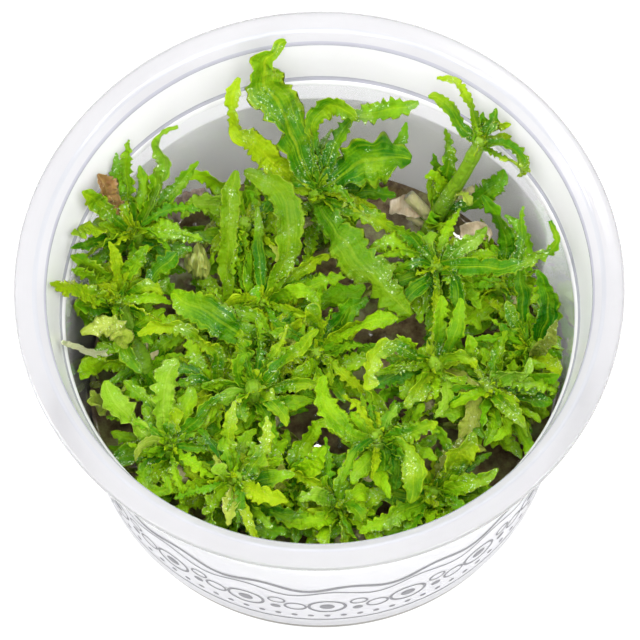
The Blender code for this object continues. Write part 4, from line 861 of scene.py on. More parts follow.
# Tints of leaves: light tone, dark tone, tone of the rib, veins and margins. Each leaf's y, g or d was
# given by how light it looks, so these tints hold its own yellow-green to deep green and partly painted
# light and shade
LEAF_TINTS = {
    "y": ((0.26, 0.4, 0.003), (0.04, 0.17, 0.001), (0.4, 0.54, 0.012)),
    "g": ((0.18, 0.37, 0.002), (0.02, 0.13, 0.001), (0.35, 0.5, 0.01)),
    "d": ((0.12, 0.33, 0.002), (0.01, 0.1, 0.001), (0.28, 0.43, 0.008)),
    "m": ((0.13, 0.26, 0.002), (0.05, 0.17, 0.001), (0.28, 0.4, 0.02)),
    "p": ((0.31, 0.4, 0.04), (0.18, 0.28, 0.015), (0.46, 0.54, 0.11)),
    "o": ((0.2, 0.25, 0.025), (0.09, 0.12, 0.012), (0.34, 0.36, 0.08)),
    "w": ((0.18, 0.35, 0.008), (0.075, 0.22, 0.004), (0.36, 0.5, 0.07)),
    "b": ((0.34, 0.18, 0.06), (0.16, 0.07, 0.025), (0.48, 0.32, 0.15)),
    "r": ((0.5, 0.52, 0.3), (0.33, 0.34, 0.18), (0.6, 0.6, 0.38)),
    "s": ((0.18, 0.33, 0.012), (0.08, 0.21, 0.006), (0.31, 0.44, 0.06)),
    "t": ((0.38, 0.35, 0.17), (0.16, 0.17, 0.06), (0.46, 0.44, 0.25)),
}

# Heights in metres between which the leaves' colour goes from brightened low to darkened high: painted
# light that evens out the shade deep in the cup
PAINTED_LIGHT_LOW = 0.02
PAINTED_LIGHT_HIGH = 0.042

# Noises on the leaves, in cells a metre
MOTTLE_GRAIN = 520.0
PATCH_GRAIN = 120.0
WET_GRAIN = 190.0
GLINT_GRAIN = 2300.0
FINE_GRAIN = 1500.0
BLISTER_GRAIN = 820.0
FILM_GRAIN = 1900.0

# Veins across and along a leaf, and how strongly veins, rib, margin and the painted glint specks show
VEINS = (7.0, 1.2)
VEIN_SHARE = 0.28
RIB_SHARE = 0.28
MARGIN_AND_RIM_LIGHT_SHARE = 0.5
PAINTED_GLINT_SHARE = 0.65
PAINTED_GLINT_TONE = (0.72, 0.85, 0.55)
LEAF_RELIEF = 0.42
FILM_RELIEF = 0.4

# Rings a metre of the turned plastic's faint tool marks, times two pi
PLASTIC_RINGS = 9000.0


def leaf_tone(look, light, dark, place, along_blade):
    """Leaf colour of mottling and soft patches, paler to the tip and on some leaves."""
    mottle = look.noise(place, MOTTLE_GRAIN, 3.0, 0.65)
    patch = look.noise(place, PATCH_GRAIN, 1.0)
    tone = look.plus(look.times(mottle, 0.4), look.times(patch, 0.6))
    tone = look.plus(tone, look.line(along_blade, 0.3, -0.12))
    tone = look.plus(tone, look.line(look.attribute("shade"), 0.4, -0.2))
    return look.ramp(tone, [(0.34, dark), (0.66, light)])


def leaf_look(tint):
    """Wet leaf: pale middle rib, lengthwise veins, mottling, paler tip, paler margins that are partly
    painted rim light, painted glint specks, and painted light that brightens low leaves and darkens high
    ones.
    """
    light, dark, rib = LEAF_TINTS[tint]
    look = Look("leaf_" + tint)
    place = look.coords("Object")
    u, v = look.split(look.coords("UV"))[:2]
    across = look.math("ABSOLUTE", look.line(u, 2.0, -1.0))
    body = leaf_tone(look, light, dark, place, v)
    streak = look.noise(look.join(look.times(u, VEINS[0]), look.times(v, VEINS[1]), 0.0), 2.0, 1.0)
    body = look.mix(look.times(look.smooth(streak, 0.48, 0.72), VEIN_SHARE), body, rib)
    rib_mask = look.math("SUBTRACT", 1.0, look.smooth(across, 0.02, 0.14))
    body = look.mix(look.times(rib_mask, RIB_SHARE), body, rib)
    # Paler margin: partly the leaf's own paler edge, partly painted rim light of thin edges that light
    # shines through
    body = look.mix(look.times(look.smooth(across, 0.8, 1.0), MARGIN_AND_RIM_LIGHT_SHARE), body, rib)
    # Painted light: colour brightened on low leaves and darkened on high ones, to even out the shade deep
    # in the cup
    height = look.smooth(look.split(place)[2], PAINTED_LIGHT_LOW, PAINTED_LIGHT_HIGH)
    body = look.mix(1.0, body, look.line(height, -0.4, 1.3), "MULTIPLY")
    wet = look.smooth(look.noise(place, WET_GRAIN), 0.5, 0.6)
    # Pale specks in the wet patches: painted glints of the wet film
    glint = look.smooth(look.noise(place, GLINT_GRAIN, 2.0, 0.6), 0.6, 0.7)
    look.color(look.mix(look.times(look.times(glint, wet), PAINTED_GLINT_SHARE), body, PAINTED_GLINT_TONE))
    fine = look.noise(place, FINE_GRAIN)
    blister = look.noise(place, BLISTER_GRAIN)
    look.rough(look.line(fine, 0.25, 0.3))
    relief = look.plus(look.times(streak, 0.3), look.times(fine, 0.4))
    look.bump(look.plus(relief, look.times(blister, 1.4)), 0.9, LEAF_RELIEF)
    film = look.plus(look.times(blister, 2.0), look.noise(place, FILM_GRAIN))
    look.bump(film, 1.0, FILM_RELIEF, "Coat Normal")
    look.links.new(look.line(wet, 0.85, 0.15), look.shader.inputs["Coat Weight"])
    look.set(Subsurface_Weight=0.2, Subsurface_Scale=0.0014, Subsurface_Radius=(0.5, 1.0, 0.12))
    look.set(Coat_Roughness=0.03, Coat_IOR=1.4, Specular_IOR_Level=0.06)
    return look.mat


def plastic_look(name, light, dark, clear, rough):
    """Clear moulded plastic; `clear` is its share of transmission."""
    look = Look("clear_plastic_" + name)
    place = look.coords("Object")
    look.tones(look.noise(place, 30.0, 3.0), dark, light, 0.35, 0.65)
    look.rough(look.line(look.noise(place, 300.0), 0.06, rough))
    x, y = look.split(place)[:2]
    radius = look.math("SQRT", look.plus(look.times(x, x), look.times(y, y)))
    rings = look.math("SINE", look.times(radius, PLASTIC_RINGS))
    look.bump(look.plus(look.times(rings, 0.25), look.noise(place, 140.0)), 0.06, 0.1)
    look.set(Transmission_Weight=clear, IOR=1.46)
    return look.mat


def label_look(name, light, dark):
    """Printed film that lets some light glow through."""
    look = Look(name)
    place = look.coords("Object")
    look.tones(look.noise(place, 45.0, 3.0), dark, light)
    look.rough(look.line(look.noise(place, 900.0), 0.2, 0.35))
    look.bump(look.noise(place, 1400.0), 0.12, 0.03)
    look.set(Subsurface_Weight=0.85, Subsurface_Scale=0.001, Subsurface_Radius=(1.0, 1.0, 0.9))
    return look.mat


def print_look(name, light, dark):
    """Matt grey ink."""
    look = Look(name)
    look.tones(look.noise(look.coords("Object"), 1200.0), dark, light)
    look.set(Roughness=0.5)
    return look.mat


def gel_look():
    """Dark, wet culture gel with brown and green drifts."""
    look = Look("culture_gel_wet")
    place = look.coords("Object")
    cloud = look.noise(place, 170.0, 5.0, 0.7)
    stops = [(0.36, (0.07, 0.04, 0.02)), (0.5, (0.2, 0.15, 0.07)), (0.62, (0.32, 0.34, 0.12))]
    look.color(look.ramp(cloud, stops))
    look.rough(look.line(look.noise(place, 500.0), 0.12, 0.05))
    look.bump(look.noise(place, 260.0, 3.0), 0.5, 0.8)
    look.set(Coat_Weight=0.6, Coat_Roughness=0.03, Specular_IOR_Level=0.2)
    look.set(Subsurface_Weight=0.1, Subsurface_Scale=0.003)
    return look.mat


def husk_look(name, light, dark):
    """Dry or rotten leaf tissue with long fibres."""
    look = Look(name)
    x, y, z = look.split(look.coords("Object"))
    fibre = look.noise(look.join(look.times(x, 4.0), y, look.times(z, 3.0)), 320.0, 4.0, 0.6)
    look.tones(fibre, dark, light, 0.32, 0.64)
    look.rough(look.line(fibre, 0.3, 0.25))
    look.bump(fibre, 0.6, 0.25)
    look.set(Subsurface_Weight=0.12, Subsurface_Scale=0.001, Coat_Weight=0.35, Coat_Roughness=0.15)
    return look.mat


# Cup, turned with rounded edges
CUP_COLUMNS = 192
CUP_EDGES = 0.45
# EDGE_LINE: reach in millimetres of the painted shade lines on the rims
EDGE_LINE = 0.36
LABEL_ROWS = 8
LABEL_CORNER = 6.0

# Parts of the plastic: name, light tone, dark tone, share of transmission, roughness
PLASTICS = (
    ("wall", (0.96, 0.955, 0.975), (0.93, 0.925, 0.95), 0.82, 0.04),
    ("flange", (0.64, 0.636, 0.652), (0.61, 0.606, 0.624), 0.6, 0.1),
    # lip and edge: darker tones painted on the rims, painted shade lines for the light the clear rounded
    # edges bend
    ("lip", (0.62, 0.63, 0.67), (0.56, 0.57, 0.61), 0.6, 0.12),
    ("edge", (0.5, 0.5, 0.58), (0.44, 0.44, 0.52), 0.6, 0.12),
    ("collar", (0.98, 0.97, 0.985), (0.95, 0.94, 0.96), 0.45, 0.2),
    ("base", (0.22, 0.21, 0.185), (0.17, 0.16, 0.14), 0.1, 0.3),
)
FLANGE_LOOK, LIP_SHADE_LINE_LOOK, RIM_SHADE_LINE_LOOK, COLLAR_LOOK, BASE_LOOK = range(1, 6)
LABEL_FRONT = ((0.68, 0.677, 0.7), (0.65, 0.647, 0.672))
LABEL_BACK = ((0.97, 0.97, 0.93), (0.8, 0.82, 0.75))


def rounded(profile, radius, steps=4):
    """The closed profile with each corner cut into a short arc."""
    out = []
    n = len(profile)
    for k in range(n):
        a, b, c = Vector(profile[k - 1]), Vector(profile[k]), Vector(profile[(k + 1) % n])
        if b.x == 0.0:
            out.append(tuple(b))
            continue
        reach = min(radius, (a - b).length * 0.4, (c - b).length * 0.4)
        start = b + (a - b).normalized() * reach
        end = b + (c - b).normalized() * reach
        for i in range(steps + 1):
            t = i / steps
            out.append(tuple(start * (1 - t) ** 2 + b * (2 * t * (1 - t)) + end * t ** 2))
    return out


def turned(profile, columns, start=0.0, end=2.0 * math.pi):
    """Vertices and faces of a closed profile turned round the Z axis."""
    whole = end - start >= 2.0 * math.pi
    count = columns if whole else columns + 1
    verts = []
    rings = []
    for radius, height in profile:
        if radius == 0.0:
            rings.append([len(verts)] * count)
            verts.append((0.0, 0.0, height))
            continue
        rings.append(list(range(len(verts), len(verts) + count)))
        for k in range(count):
            a = start + (end - start) * k / columns
            verts.append((radius * math.cos(a), radius * math.sin(a), height))
    faces = []
    for low, high in zip(rings, rings[1:] + rings[:1]):
        for k in range(columns):
            m = (k + 1) % count
            face = list(dict.fromkeys((low[k], low[m], high[m], high[k])))
            if len(face) > 2:
                faces.append(face)
    if not whole:
        faces.append([ring[0] for ring in rings])
        faces.append([ring[-1] for ring in reversed(rings)])
    return verts, faces


def make_cup():
    """Turned cup, with its own tone for each part, and darker tones painted on the lip, mouth and step
    rims as painted shade lines for the light the clear rounded edges bend.
    """
    lip = (LIP_RADIUS, LIP_HEIGHT)
    mouth = (MOUTH_RADIUS, MOUTH_HEIGHT)
    step = (STEP_RADIUS, STEP_HEIGHT)
    profile = [
        (0.0, 0.0), (BASE_RADIUS - BASE_EDGE, 0.0), (BASE_RADIUS, BASE_ROUND),
        (outer_wall(LABEL_LOW), LABEL_LOW), (SHOULDER_RADIUS, SHOULDER_HEIGHT),
        (STEP_RADIUS + STEP_WALL, STEP_HEIGHT), (MOUTH_RADIUS, FLARE_HEIGHT),
        (FLANGE_RADIUS, FLANGE_LOW), (FLANGE_RADIUS, CUP_HEIGHT), lip, mouth, step,
        (NARROW_RADIUS, NARROW_HEIGHT), (FLOOR_RADIUS, FLOOR), (0.0, FLOOR)]
    verts, faces = turned(rounded(profile, CUP_EDGES), CUP_COLUMNS)
    looks = [plastic_look(*plastic) for plastic in PLASTICS]
    cup = piece("clear_cup", verts, faces, looks, "cup")
    for face in cup.data.polygons:
        middle = face.center / MM
        radius = math.hypot(middle.x, middle.y)
        if middle.z > SHOULDER_HEIGHT:
            above = middle.z > FLARE_HEIGHT and radius > MOUTH_RADIUS
            face.material_index = FLANGE_LOOK if above else COLLAR_LOOK
        if middle.z < LABEL_LOW and radius > FLOOR_RADIUS:
            face.material_index = BASE_LOOK
        # Painted shade lines on the lip, mouth and step rims
        for (r, z), look in ((lip, LIP_SHADE_LINE_LOOK), (mouth, RIM_SHADE_LINE_LOOK), (step, RIM_SHADE_LINE_LOOK)):
            if math.hypot(radius - r, middle.z - z) < EDGE_LINE:
                face.material_index = look


def outer_wall(z):
    """Outer radius of the cup's wall below the step."""
    share = (SHOULDER_RADIUS - BASE_RADIUS) * (z - BASE_ROUND) / (SHOULDER_HEIGHT - BASE_ROUND)
    return BASE_RADIUS + share


def cut_corner(vert):
    """Drop a point of the label where its end has a round corner at the top."""
    x, y, z = vert
    radius = math.hypot(x, y)
    angle = math.atan2(y, x) % (2.0 * math.pi)
    end = min(angle - LABEL_START, LABEL_END - angle) * radius
    if end >= LABEL_CORNER:
        return vert
    inset = LABEL_CORNER - max(end, 0.0)
    drop = LABEL_CORNER - math.sqrt(max(0.0, LABEL_CORNER ** 2 - inset ** 2))
    share = (z - LABEL_LOW) / (LABEL_HIGH - LABEL_LOW)
    z -= drop * share
    thick = radius - outer_wall(vert[2])
    new = outer_wall(z) + thick
    return (x / radius * new, y / radius * new, z)


def make_label():
    """Film wrapped round the wall, with a tone for each of its faces."""
    inner = []
    outer = []
    for k in range(LABEL_ROWS + 1):
        z = LABEL_LOW + (LABEL_HIGH - LABEL_LOW) * k / LABEL_ROWS
        inner.append((outer_wall(z) + GAP, z))
        outer.append((outer_wall(z) + GAP + LABEL_THICK, z))
    profile = outer + inner[::-1]
    verts, faces = turned(profile, CUP_COLUMNS, LABEL_START, LABEL_END)
    verts = [cut_corner(vert) for vert in verts]
    front = label_look("label_front", *LABEL_FRONT)
    back = label_look("label_back", *LABEL_BACK)
    label = piece("label_film", verts, faces, [front, back], "label")
    for face in label.data.polygons:
        middle = face.center / MM
        radius = math.hypot(middle.x, middle.y)
        if radius < outer_wall(middle.z) + GAP + LABEL_THICK * 0.5:
            face.material_index = 1


def film_point(along_film, z, off):
    """Place on the label's outer face; along_film runs right from the front."""
    radius = outer_wall(z) + GAP + LABEL_THICK + off
    angle = 1.5 * math.pi + along_film / radius
    return (radius * math.cos(angle), radius * math.sin(angle), z)


# Printed design, in millimetres to the right of the front and up the film
PRINT_OFF = 0.05
PRINT_REACH = 52
PRINT_TONES = ((0.22, 0.22, 0.235), (0.17, 0.17, 0.185))
DISC_SIDES = 20
RING_SIDES = 28

# Waves: height, depth, stroke, shift; and their turn in radians a millimetre
WAVES = ((26.5, 1.3, 1.1, 0.0), (23.6, 1.3, 0.45, 1.1))
WAVE_TURN = 0.42

# Each cluster's rings, and discs where the stroke is 0: right, height, radius, stroke
CLUSTER = (
    (0.0, 16.2, 3.1, 0.55),
    (0.0, 16.2, 1.3, 0.0),
    (5.4, 18.4, 1.4, 0.4),
    (5.2, 14.6, 0.9, 0.0),
    (8.6, 15.8, 1.8, 0.45),
)
CLUSTERS = 3
CLUSTER_STEP = 14.0
DOTS = 18
DOT_STEP = 2.8
DOT_HEIGHT = 10.6
DOT_RADIUS = 0.55
STROKE_HEIGHT = 8.2
STROKE = 0.4


class Print:
    """Flat printed shapes wrapped round the label."""

    def __init__(self, off):
        self.verts = []
        self.faces = []
        self.off = off

    def line(self, points, width, closed=False):
        """Stroke of a width through points of the film."""
        first = len(self.verts)
        count = len(points)
        for k, (x, z) in enumerate(points):
            a = points[k - 1] if k or closed else points[0]
            b = points[(k + 1) % count] if k < count - 1 or closed else points[-1]
            way = Vector((b[0] - a[0], b[1] - a[1])).normalized()
            for sign in (-0.5, 0.5):
                shift = (-way.y * width * sign, way.x * width * sign)
                self.verts.append(film_point(x + shift[0], z + shift[1], self.off))
        for k in range(count if closed else count - 1):
            a = first + 2 * k
            b = first + 2 * ((k + 1) % count)
            self.faces.append((a, b, b + 1, a + 1))

    def disc(self, x, z, radius):
        first = len(self.verts)
        self.verts.append(film_point(x, z, self.off))
        for right, up in circle(DISC_SIDES, radius):
            self.verts.append(film_point(x + right, z + up, self.off))
        for k in range(DISC_SIDES):
            self.faces.append((first, first + 1 + k, first + 1 + (k + 1) % DISC_SIDES))

    def ring(self, x, z, radius, width):
        points = [(x + right, z + up) for right, up in circle(RING_SIDES, radius)]
        self.line(points, width, True)


def make_print():
    """Two waves over a row of bubbles, a row of dots and a line."""
    design = Print(PRINT_OFF)
    span = range(-PRINT_REACH, PRINT_REACH + 1)
    for height, depth, width, shift in WAVES:
        design.line([(k, height + depth * math.sin(k * WAVE_TURN + shift)) for k in span], width)
    for k in range(-CLUSTERS, CLUSTERS + 1):
        for right, height, radius, width in CLUSTER:
            if width:
                design.ring(k * CLUSTER_STEP + right, height, radius, width)
            else:
                design.disc(k * CLUSTER_STEP + right, height, radius)
    for k in range(-DOTS, DOTS + 1):
        design.disc(k * DOT_STEP, DOT_HEIGHT, DOT_RADIUS)
    design.line([(k, STROKE_HEIGHT) for k in span], STROKE)
    tone = print_look("label_print", *PRINT_TONES)
    piece("label_waves", design.verts, design.faces, [tone], None)


# Bubbles on the gel, in millimetres: those seen as (x, y, radius), and how many in all
SEEN_BUBBLES = (
    (3.2, -17.2, 1.1), (1.2, -15.6, 0.9), (4.6, -14.6, 0.7), (3.2, -11.0, 0.8), (-7.0, -3.0, 0.9),
    (-19.0, 6.0, 0.9), (-14.5, -1.0, 0.8), (14.0, 18.0, 0.8), (33.0, 2.0, 0.9), (36.0, -14.0, 0.9),
)
BUBBLES = 90
BUBBLE_FIELD = 38.0
BUBBLE_RADII = (0.25, 0.8)
BUBBLE_SINK = 0.2
BUBBLE_SIDES = 14
BUBBLE_ROWS = 5
BUBBLE_TONES = ((0.85, 0.86, 0.8), (0.95, 0.95, 0.92))

# Gel: its mesh, the sag and waves of its top, where it starts to climb, and its gap at the foot
GEL_RINGS = 40
GEL_COLUMNS = 128
GEL_SAG = 0.35
GEL_WAVES = 0.16
GEL_EDGE = 0.9
GEL_FOOT = 0.4


def make_bubbles():
    """Bubbles and drops of water that sit on the gel."""
    rng = random.Random(5)
    spots = list(SEEN_BUBBLES)
    while len(spots) < BUBBLES:
        a = rng.uniform(0.0, 2.0 * math.pi)
        r = math.sqrt(rng.random()) * BUBBLE_FIELD
        spots.append((r * math.cos(a), r * math.sin(a), rng.uniform(*BUBBLE_RADII)))
    verts = []
    faces = []
    for x, y, radius in spots:
        first = len(verts)
        foot = GEL_TOP - BUBBLE_SINK
        for i in range(BUBBLE_ROWS):
            lean = 0.5 * math.pi * i / BUBBLE_ROWS
            for right, back in circle(BUBBLE_SIDES, radius * math.cos(lean)):
                verts.append((x + right, y + back, foot + radius * math.sin(lean)))
        verts.append((x, y, foot + radius))
        faces += skin(first, BUBBLE_ROWS, BUBBLE_SIDES)
        last = first + (BUBBLE_ROWS - 1) * BUBBLE_SIDES
        for k in range(BUBBLE_SIDES):
            faces.append((last + k, last + (k + 1) % BUBBLE_SIDES, len(verts) - 1))
    look = Look("gel_bubble_film")
    look.tones(look.noise(look.coords("Object"), 700.0, 1.0), *BUBBLE_TONES)
    look.set(Transmission_Weight=0.9, IOR=1.33, Roughness=0.02, Coat_Weight=1.0, Coat_Roughness=0.02)
    piece("gel_bubbles", verts, faces, [look.mat], None)


def make_gel():
    """Gel with a gently uneven wet top that climbs at the wall."""
    rim = bore(GEL_RIM) - GAP
    verts = []
    for i in range(GEL_RINGS + 1):
        share = i / GEL_RINGS
        edge = max(0.0, (share - GEL_EDGE) / (1.0 - GEL_EDGE)) ** 2
        climb = (GEL_RIM - GEL_TOP) * edge
        for x, y in circle(GEL_COLUMNS, rim * share):
            swell = noise.noise(Vector((x * GEL_WAVES, y * GEL_WAVES, 2.0)))
            wave = swell * GEL_SAG * (1.0 - share ** 4)
            verts.append((x, y, GEL_TOP - GEL_SAG + climb + wave + GEL_SAG * edge))
    top = GEL_RINGS * GEL_COLUMNS
    low = len(verts)
    for x, y in circle(GEL_COLUMNS, FLOOR_RADIUS - GEL_FOOT):
        verts.append((x, y, FLOOR + GAP))
    faces = []
    for a, b, c, d in skin(0, GEL_RINGS + 1, GEL_COLUMNS):
        faces.append((a, d, c, b))
    for a, b, c, d in skin(top, 2, GEL_COLUMNS):
        faces.append((a, d, c, b))
    faces.append(tuple(range(low + GEL_COLUMNS - 1, low - 1, -1)))
    piece("wet_gel", verts, faces, [gel_look()], "gel")


# Ribbon leaves: distances in millimetres, and a cross section as (share across, face)
STATION = 0.32
COARSE = 0.5
OVER = [(c, 1.0) for c in (-1.0, -0.86, -0.62, -0.3, 0.0, 0.3, 0.62, 0.86, 1.0)]
UNDER = [(c, -1.0) for c in (0.8, 0.28, -0.28, -0.8)]
THIN = 0.12
CRIMP = 1.45
SLIM = 0.84
TALLEST = 62.6
CHANNELS = (0.35, 0.2, 0.5, -0.2)
STRENGTHS = (0.7, 1.0, 1.3, 1.6)
RIB_WIDTH = 0.14
RIB_DEPTH = 0.1
FLAT_RUFFLE = 0.2
DEEP_LEAVES = (("mid_left_shoot", 0), ("centre_shoot", 0), ("back_rosette", 7))

# Stems, with swollen joints, and stubs of cut side shoots
STEM_SIDES = 14
STEM_STEPS = 8
JOINT_SWELL = 0.12
STUBS = 3
STUB_SIDES = 12
STUB_SHARES = (0.0, 0.25, 0.5, 0.75, 1.0)

# Small leaves of each plantlet: how many, and the ranges they are drawn from
YOUNG_LEAVES = 12
STRIPS = 6
STRIP_REACH = (6.0, 11.5)
STRIP_RISE = (1.5, 4.0)
STRIP_DROP = (0.5, 5.0)
STRIP_BEND = (-3.0, 3.0)
STRIP_WIDTH = (1.6, 2.5)
STRIP_LENGTH = 1.15
RUNNERS = 5
RUNNER_START = (1.0, 4.0)
RUNNER_REACH = (7.0, 13.0)
RUNNER_BEND = (-4.0, 4.0)
RUNNER_WIDTH = (1.2, 3.0)
RUNNER_ARCH = 3.0
WIDE_GAP = 75.0

# Loose pieces: light tone, dark tone
HUSK_TONES = {
    "brown": ((0.32, 0.24, 0.2), (0.14, 0.09, 0.07)),
    "olive": ((0.38, 0.43, 0.08), (0.15, 0.19, 0.025)),
    "tan": ((0.6, 0.5, 0.34), (0.36, 0.27, 0.16)),
}
HUSK_STATIONS = 24
CLUMP_SIDES = 28


class Heap:
    """Vertices, faces and their marks for one plantlet."""

    def __init__(self):
        self.verts = []
        self.marks = []
        self.faces = []
        self.tints = []

    def tube(self, rows, marks, tint):
        """Closed skin over rings of points."""
        first = len(self.verts)
        size = len(rows[0])
        for row, mark in zip(rows, marks):
            self.verts += row
            self.marks += mark
        self.faces += skin(first, len(rows), size)
        last = first + (len(rows) - 1) * size
        self.faces.append(tuple(range(first + size - 1, first - 1, -1)))
        self.faces.append(tuple(range(last, last + size)))
        self.tints += [tint] * (len(self.faces) - len(self.tints))

    def build(self, name, node):
        """Mesh with a place on the blade and a shade for each point."""
        kinds = sorted(set(self.tints))
        obj = piece(name, self.verts, self.faces, [LOOKS[kind] for kind in kinds], node)
        mesh = obj.data
        mesh.polygons.foreach_set("material_index", [kinds.index(tint) for tint in self.tints])
        uv = mesh.uv_layers.new(name="Blade")
        shade = mesh.attributes.new("shade", "FLOAT", "POINT")
        shade.data.foreach_set("value", [mark[2] for mark in self.marks])
        corners = []
        for loop in mesh.loops:
            corners += self.marks[loop.vertex_index][:2]
        uv.data.foreach_set("uv", corners)


def drift(x, seed):
    """Smooth noise from -1 to 1 along a line."""
    return max(-1.0, min(1.0, noise.noise(Vector((x, seed, 0.37 * seed))) * 1.8))


def crimp(run, pitch, seed):
    """Uneven crimp of a leaf's margin at a distance along it."""
    angle = 2.0 * math.pi * (run / pitch + 0.55 * drift(run / (2.2 * pitch), seed))
    size = 0.35 + 0.95 * abs(drift(run / (1.7 * pitch), seed + 9.3))
    return math.sin(angle) * size + 0.4 * drift(run / (0.45 * pitch), seed + 4.1)


def add_leaf(heap, line, twist, tint, rng, ruffle=1.0):
    """A crimped ribbon leaf along a line of (place, width)."""
    dirs = frames(line, twist)
    run = [0.0]
    for a, b in zip(line, line[1:]):
        run.append(run[-1] + (b[0] - a[0]).length)
    length = max(run[-1], 0.01)
    seeds = [rng.uniform(0.0, 90.0) for k in range(6)]
    channel = rng.choice(CHANNELS) * rng.uniform(0.7, 1.2)
    turn = rng.uniform(-0.7, 0.7)
    shade = rng.random()
    broad = max(width for at, width in line) * 0.5 * SLIM
    pitch = CRIMP * (0.7 + 0.25 * broad) * rng.uniform(0.75, 1.3)
    strength = ruffle * rng.choice(STRENGTHS)
    rows = []
    marks = []
    for (at, width), (side, face), s in zip(line, dirs, run):
        t = s / length
        half = width * 0.5 * SLIM
        fade = min(1.0, t * 3.0, (1.0 - t) * 5.0 + 0.25)
        lean = turn * math.sin(math.pi * t) + 0.6 * drift(s / 5.0, seeds[4]) * fade
        right = side * math.cos(lean) + face * math.sin(lean)
        up = face * math.cos(lean) - side * math.sin(lean)
        sway = min(0.16 * width, 0.4) * drift(s / 3.6, seeds[5]) * fade
        margins = [crimp(s, pitch, seeds[k]) * strength * fade for k in range(2)]
        waves = [drift(s / 3.0, seeds[2 + k]) * fade for k in range(2)]
        row = []
        tags = []
        for c, way in OVER + UNDER:
            n = 0 if c < 0 else 1
            edge = abs(c)
            out = c * (half + 0.12 * half * waves[1 - n] * edge) + sway
            out += math.copysign(0.15 + 0.11 * half, c) * margins[n] * edge ** 3
            lift = channel * half * edge ** 1.6
            lift += (0.2 + 0.12 * half) * margins[1 - n] * edge ** 3
            lift += 0.42 * half * waves[n] * edge ** 1.5
            lift -= RIB_DEPTH * math.exp(-(c / RIB_WIDTH) ** 2)
            point = at + right * out + up * lift
            point += up * (way * (THIN * (1.0 - 0.55 * edge ** 3)))
            point.z = min(point.z, TALLEST)
            row.append(point)
            tags.append((c * 0.5 + 0.5, t, shade))
        rows.append(row)
        marks.append(tags)
    heap.tube(rows, marks, tint)


def add_round(heap, rows, tint):
    """Round skin over rings of points, with an even shade."""
    last = len(rows) - 1
    marks = []
    for k, row in enumerate(rows):
        marks.append([(j / len(row), k / last, 0.5) for j in range(len(row))])
    heap.tube(rows, marks, tint)


def add_stem(heap, stem):
    """Stem with swollen joints, a smooth tube through its points."""
    line = smooth_route(stem, STEM_STEPS * (len(stem) - 1))
    rows = []
    for k, ((at, radius), (side, face)) in enumerate(zip(line, frames(line, 0.0))):
        swell = 1.0 + JOINT_SWELL * math.exp(-((k % STEM_STEPS) - 0.5 * STEM_STEPS) ** 2 / 1.5)
        row = []
        for j in range(STEM_SIDES):
            a = 2.0 * math.pi * j / STEM_SIDES
            out = side * math.cos(a) + face * math.sin(a)
            row.append(at + out * (radius * swell * (0.93 + 0.05 * math.sin(3.0 * a))))
        rows.append(row)
    add_round(heap, rows, "s")


def compass(angle, rise=0.0):
    """Level direction at an angle from the right, or one that rises."""
    return Vector((math.cos(angle), math.sin(angle), rise))


def lay_leaf(heap, line, twist, tints, rng, ruffle=1.0):
    """Leaf along a line, kept inside the cup, with a twist and a tint drawn for it."""
    add_leaf(heap, inside(line), rng.uniform(-twist, twist), rng.choice(tints), rng, ruffle)


def bowed(start, out, reach, bend, height, width, widest, count):
    """Line of a narrow leaf that bows sideways; its height is a function of its run."""
    side = Vector((-out.y, out.x, 0.0))
    line = []
    for i in range(count + 1):
        t = i / count
        at = start + out * (reach * t) + side * (bend * t * t) + Vector((0.0, 0.0, height(t)))
        line.append((at, width * leaf_width(t, widest)))
    return line


def young_leaves(heap, stem, rng):
    """Small new leaves that stand round the growing tip."""
    tip = Vector(stem[-1][:3])
    axis = (tip - Vector(stem[-2][:3])).normalized()
    for k in range(YOUNG_LEAVES):
        out = compass(math.radians(GOLDEN * k + rng.uniform(-35.0, 35.0)))
        lean = math.radians(12.0 + 5.5 * k + rng.uniform(-14.0, 14.0))
        aim = (axis * math.cos(lean) + out * math.sin(lean)).normalized()
        size = (2.0 + 0.36 * k) * rng.uniform(0.75, 1.3)
        width = (0.9 + 0.1 * k) * rng.uniform(0.8, 1.2)
        count = max(8, int(size / STATION))
        curl = out * (rng.uniform(0.05, 0.45) * size)
        line = []
        for i in range(count + 1):
            t = i / count
            at = tip - axis * (0.5 + 0.14 * k) + aim * (size * t) + curl * t * t
            line.append((at, width * leaf_width(t, 0.5)))
        lay_leaf(heap, line, 50, "yyg", rng, 1.2)


def add_strips(heap, stem, rng):
    """Narrow, strongly crimped leaves that cross over the crown."""
    tip = Vector(stem[-1][:3])
    foot = Vector(stem[-2][:3])
    for k in range(STRIPS):
        out = compass(rng.uniform(0.0, 2.0 * math.pi))
        start = tip.lerp(foot, rng.uniform(0.0, 0.3)) + out * rng.uniform(0.3, 1.2)
        reach = rng.uniform(*STRIP_REACH)
        rise = rng.uniform(*STRIP_RISE)
        drop = rng.uniform(*STRIP_DROP)
        bend = rng.uniform(*STRIP_BEND)
        width = rng.uniform(*STRIP_WIDTH)

        def height(t):
            return rise * math.sin(0.5 * math.pi * min(1.0, 1.7 * t)) - drop * t ** 2.2

        count = int(reach * STRIP_LENGTH / STATION)
        line = bowed(start, out, reach, bend, height, width, 0.55, count)
        lay_leaf(heap, line, 60, "yyggd", rng, 1.3)


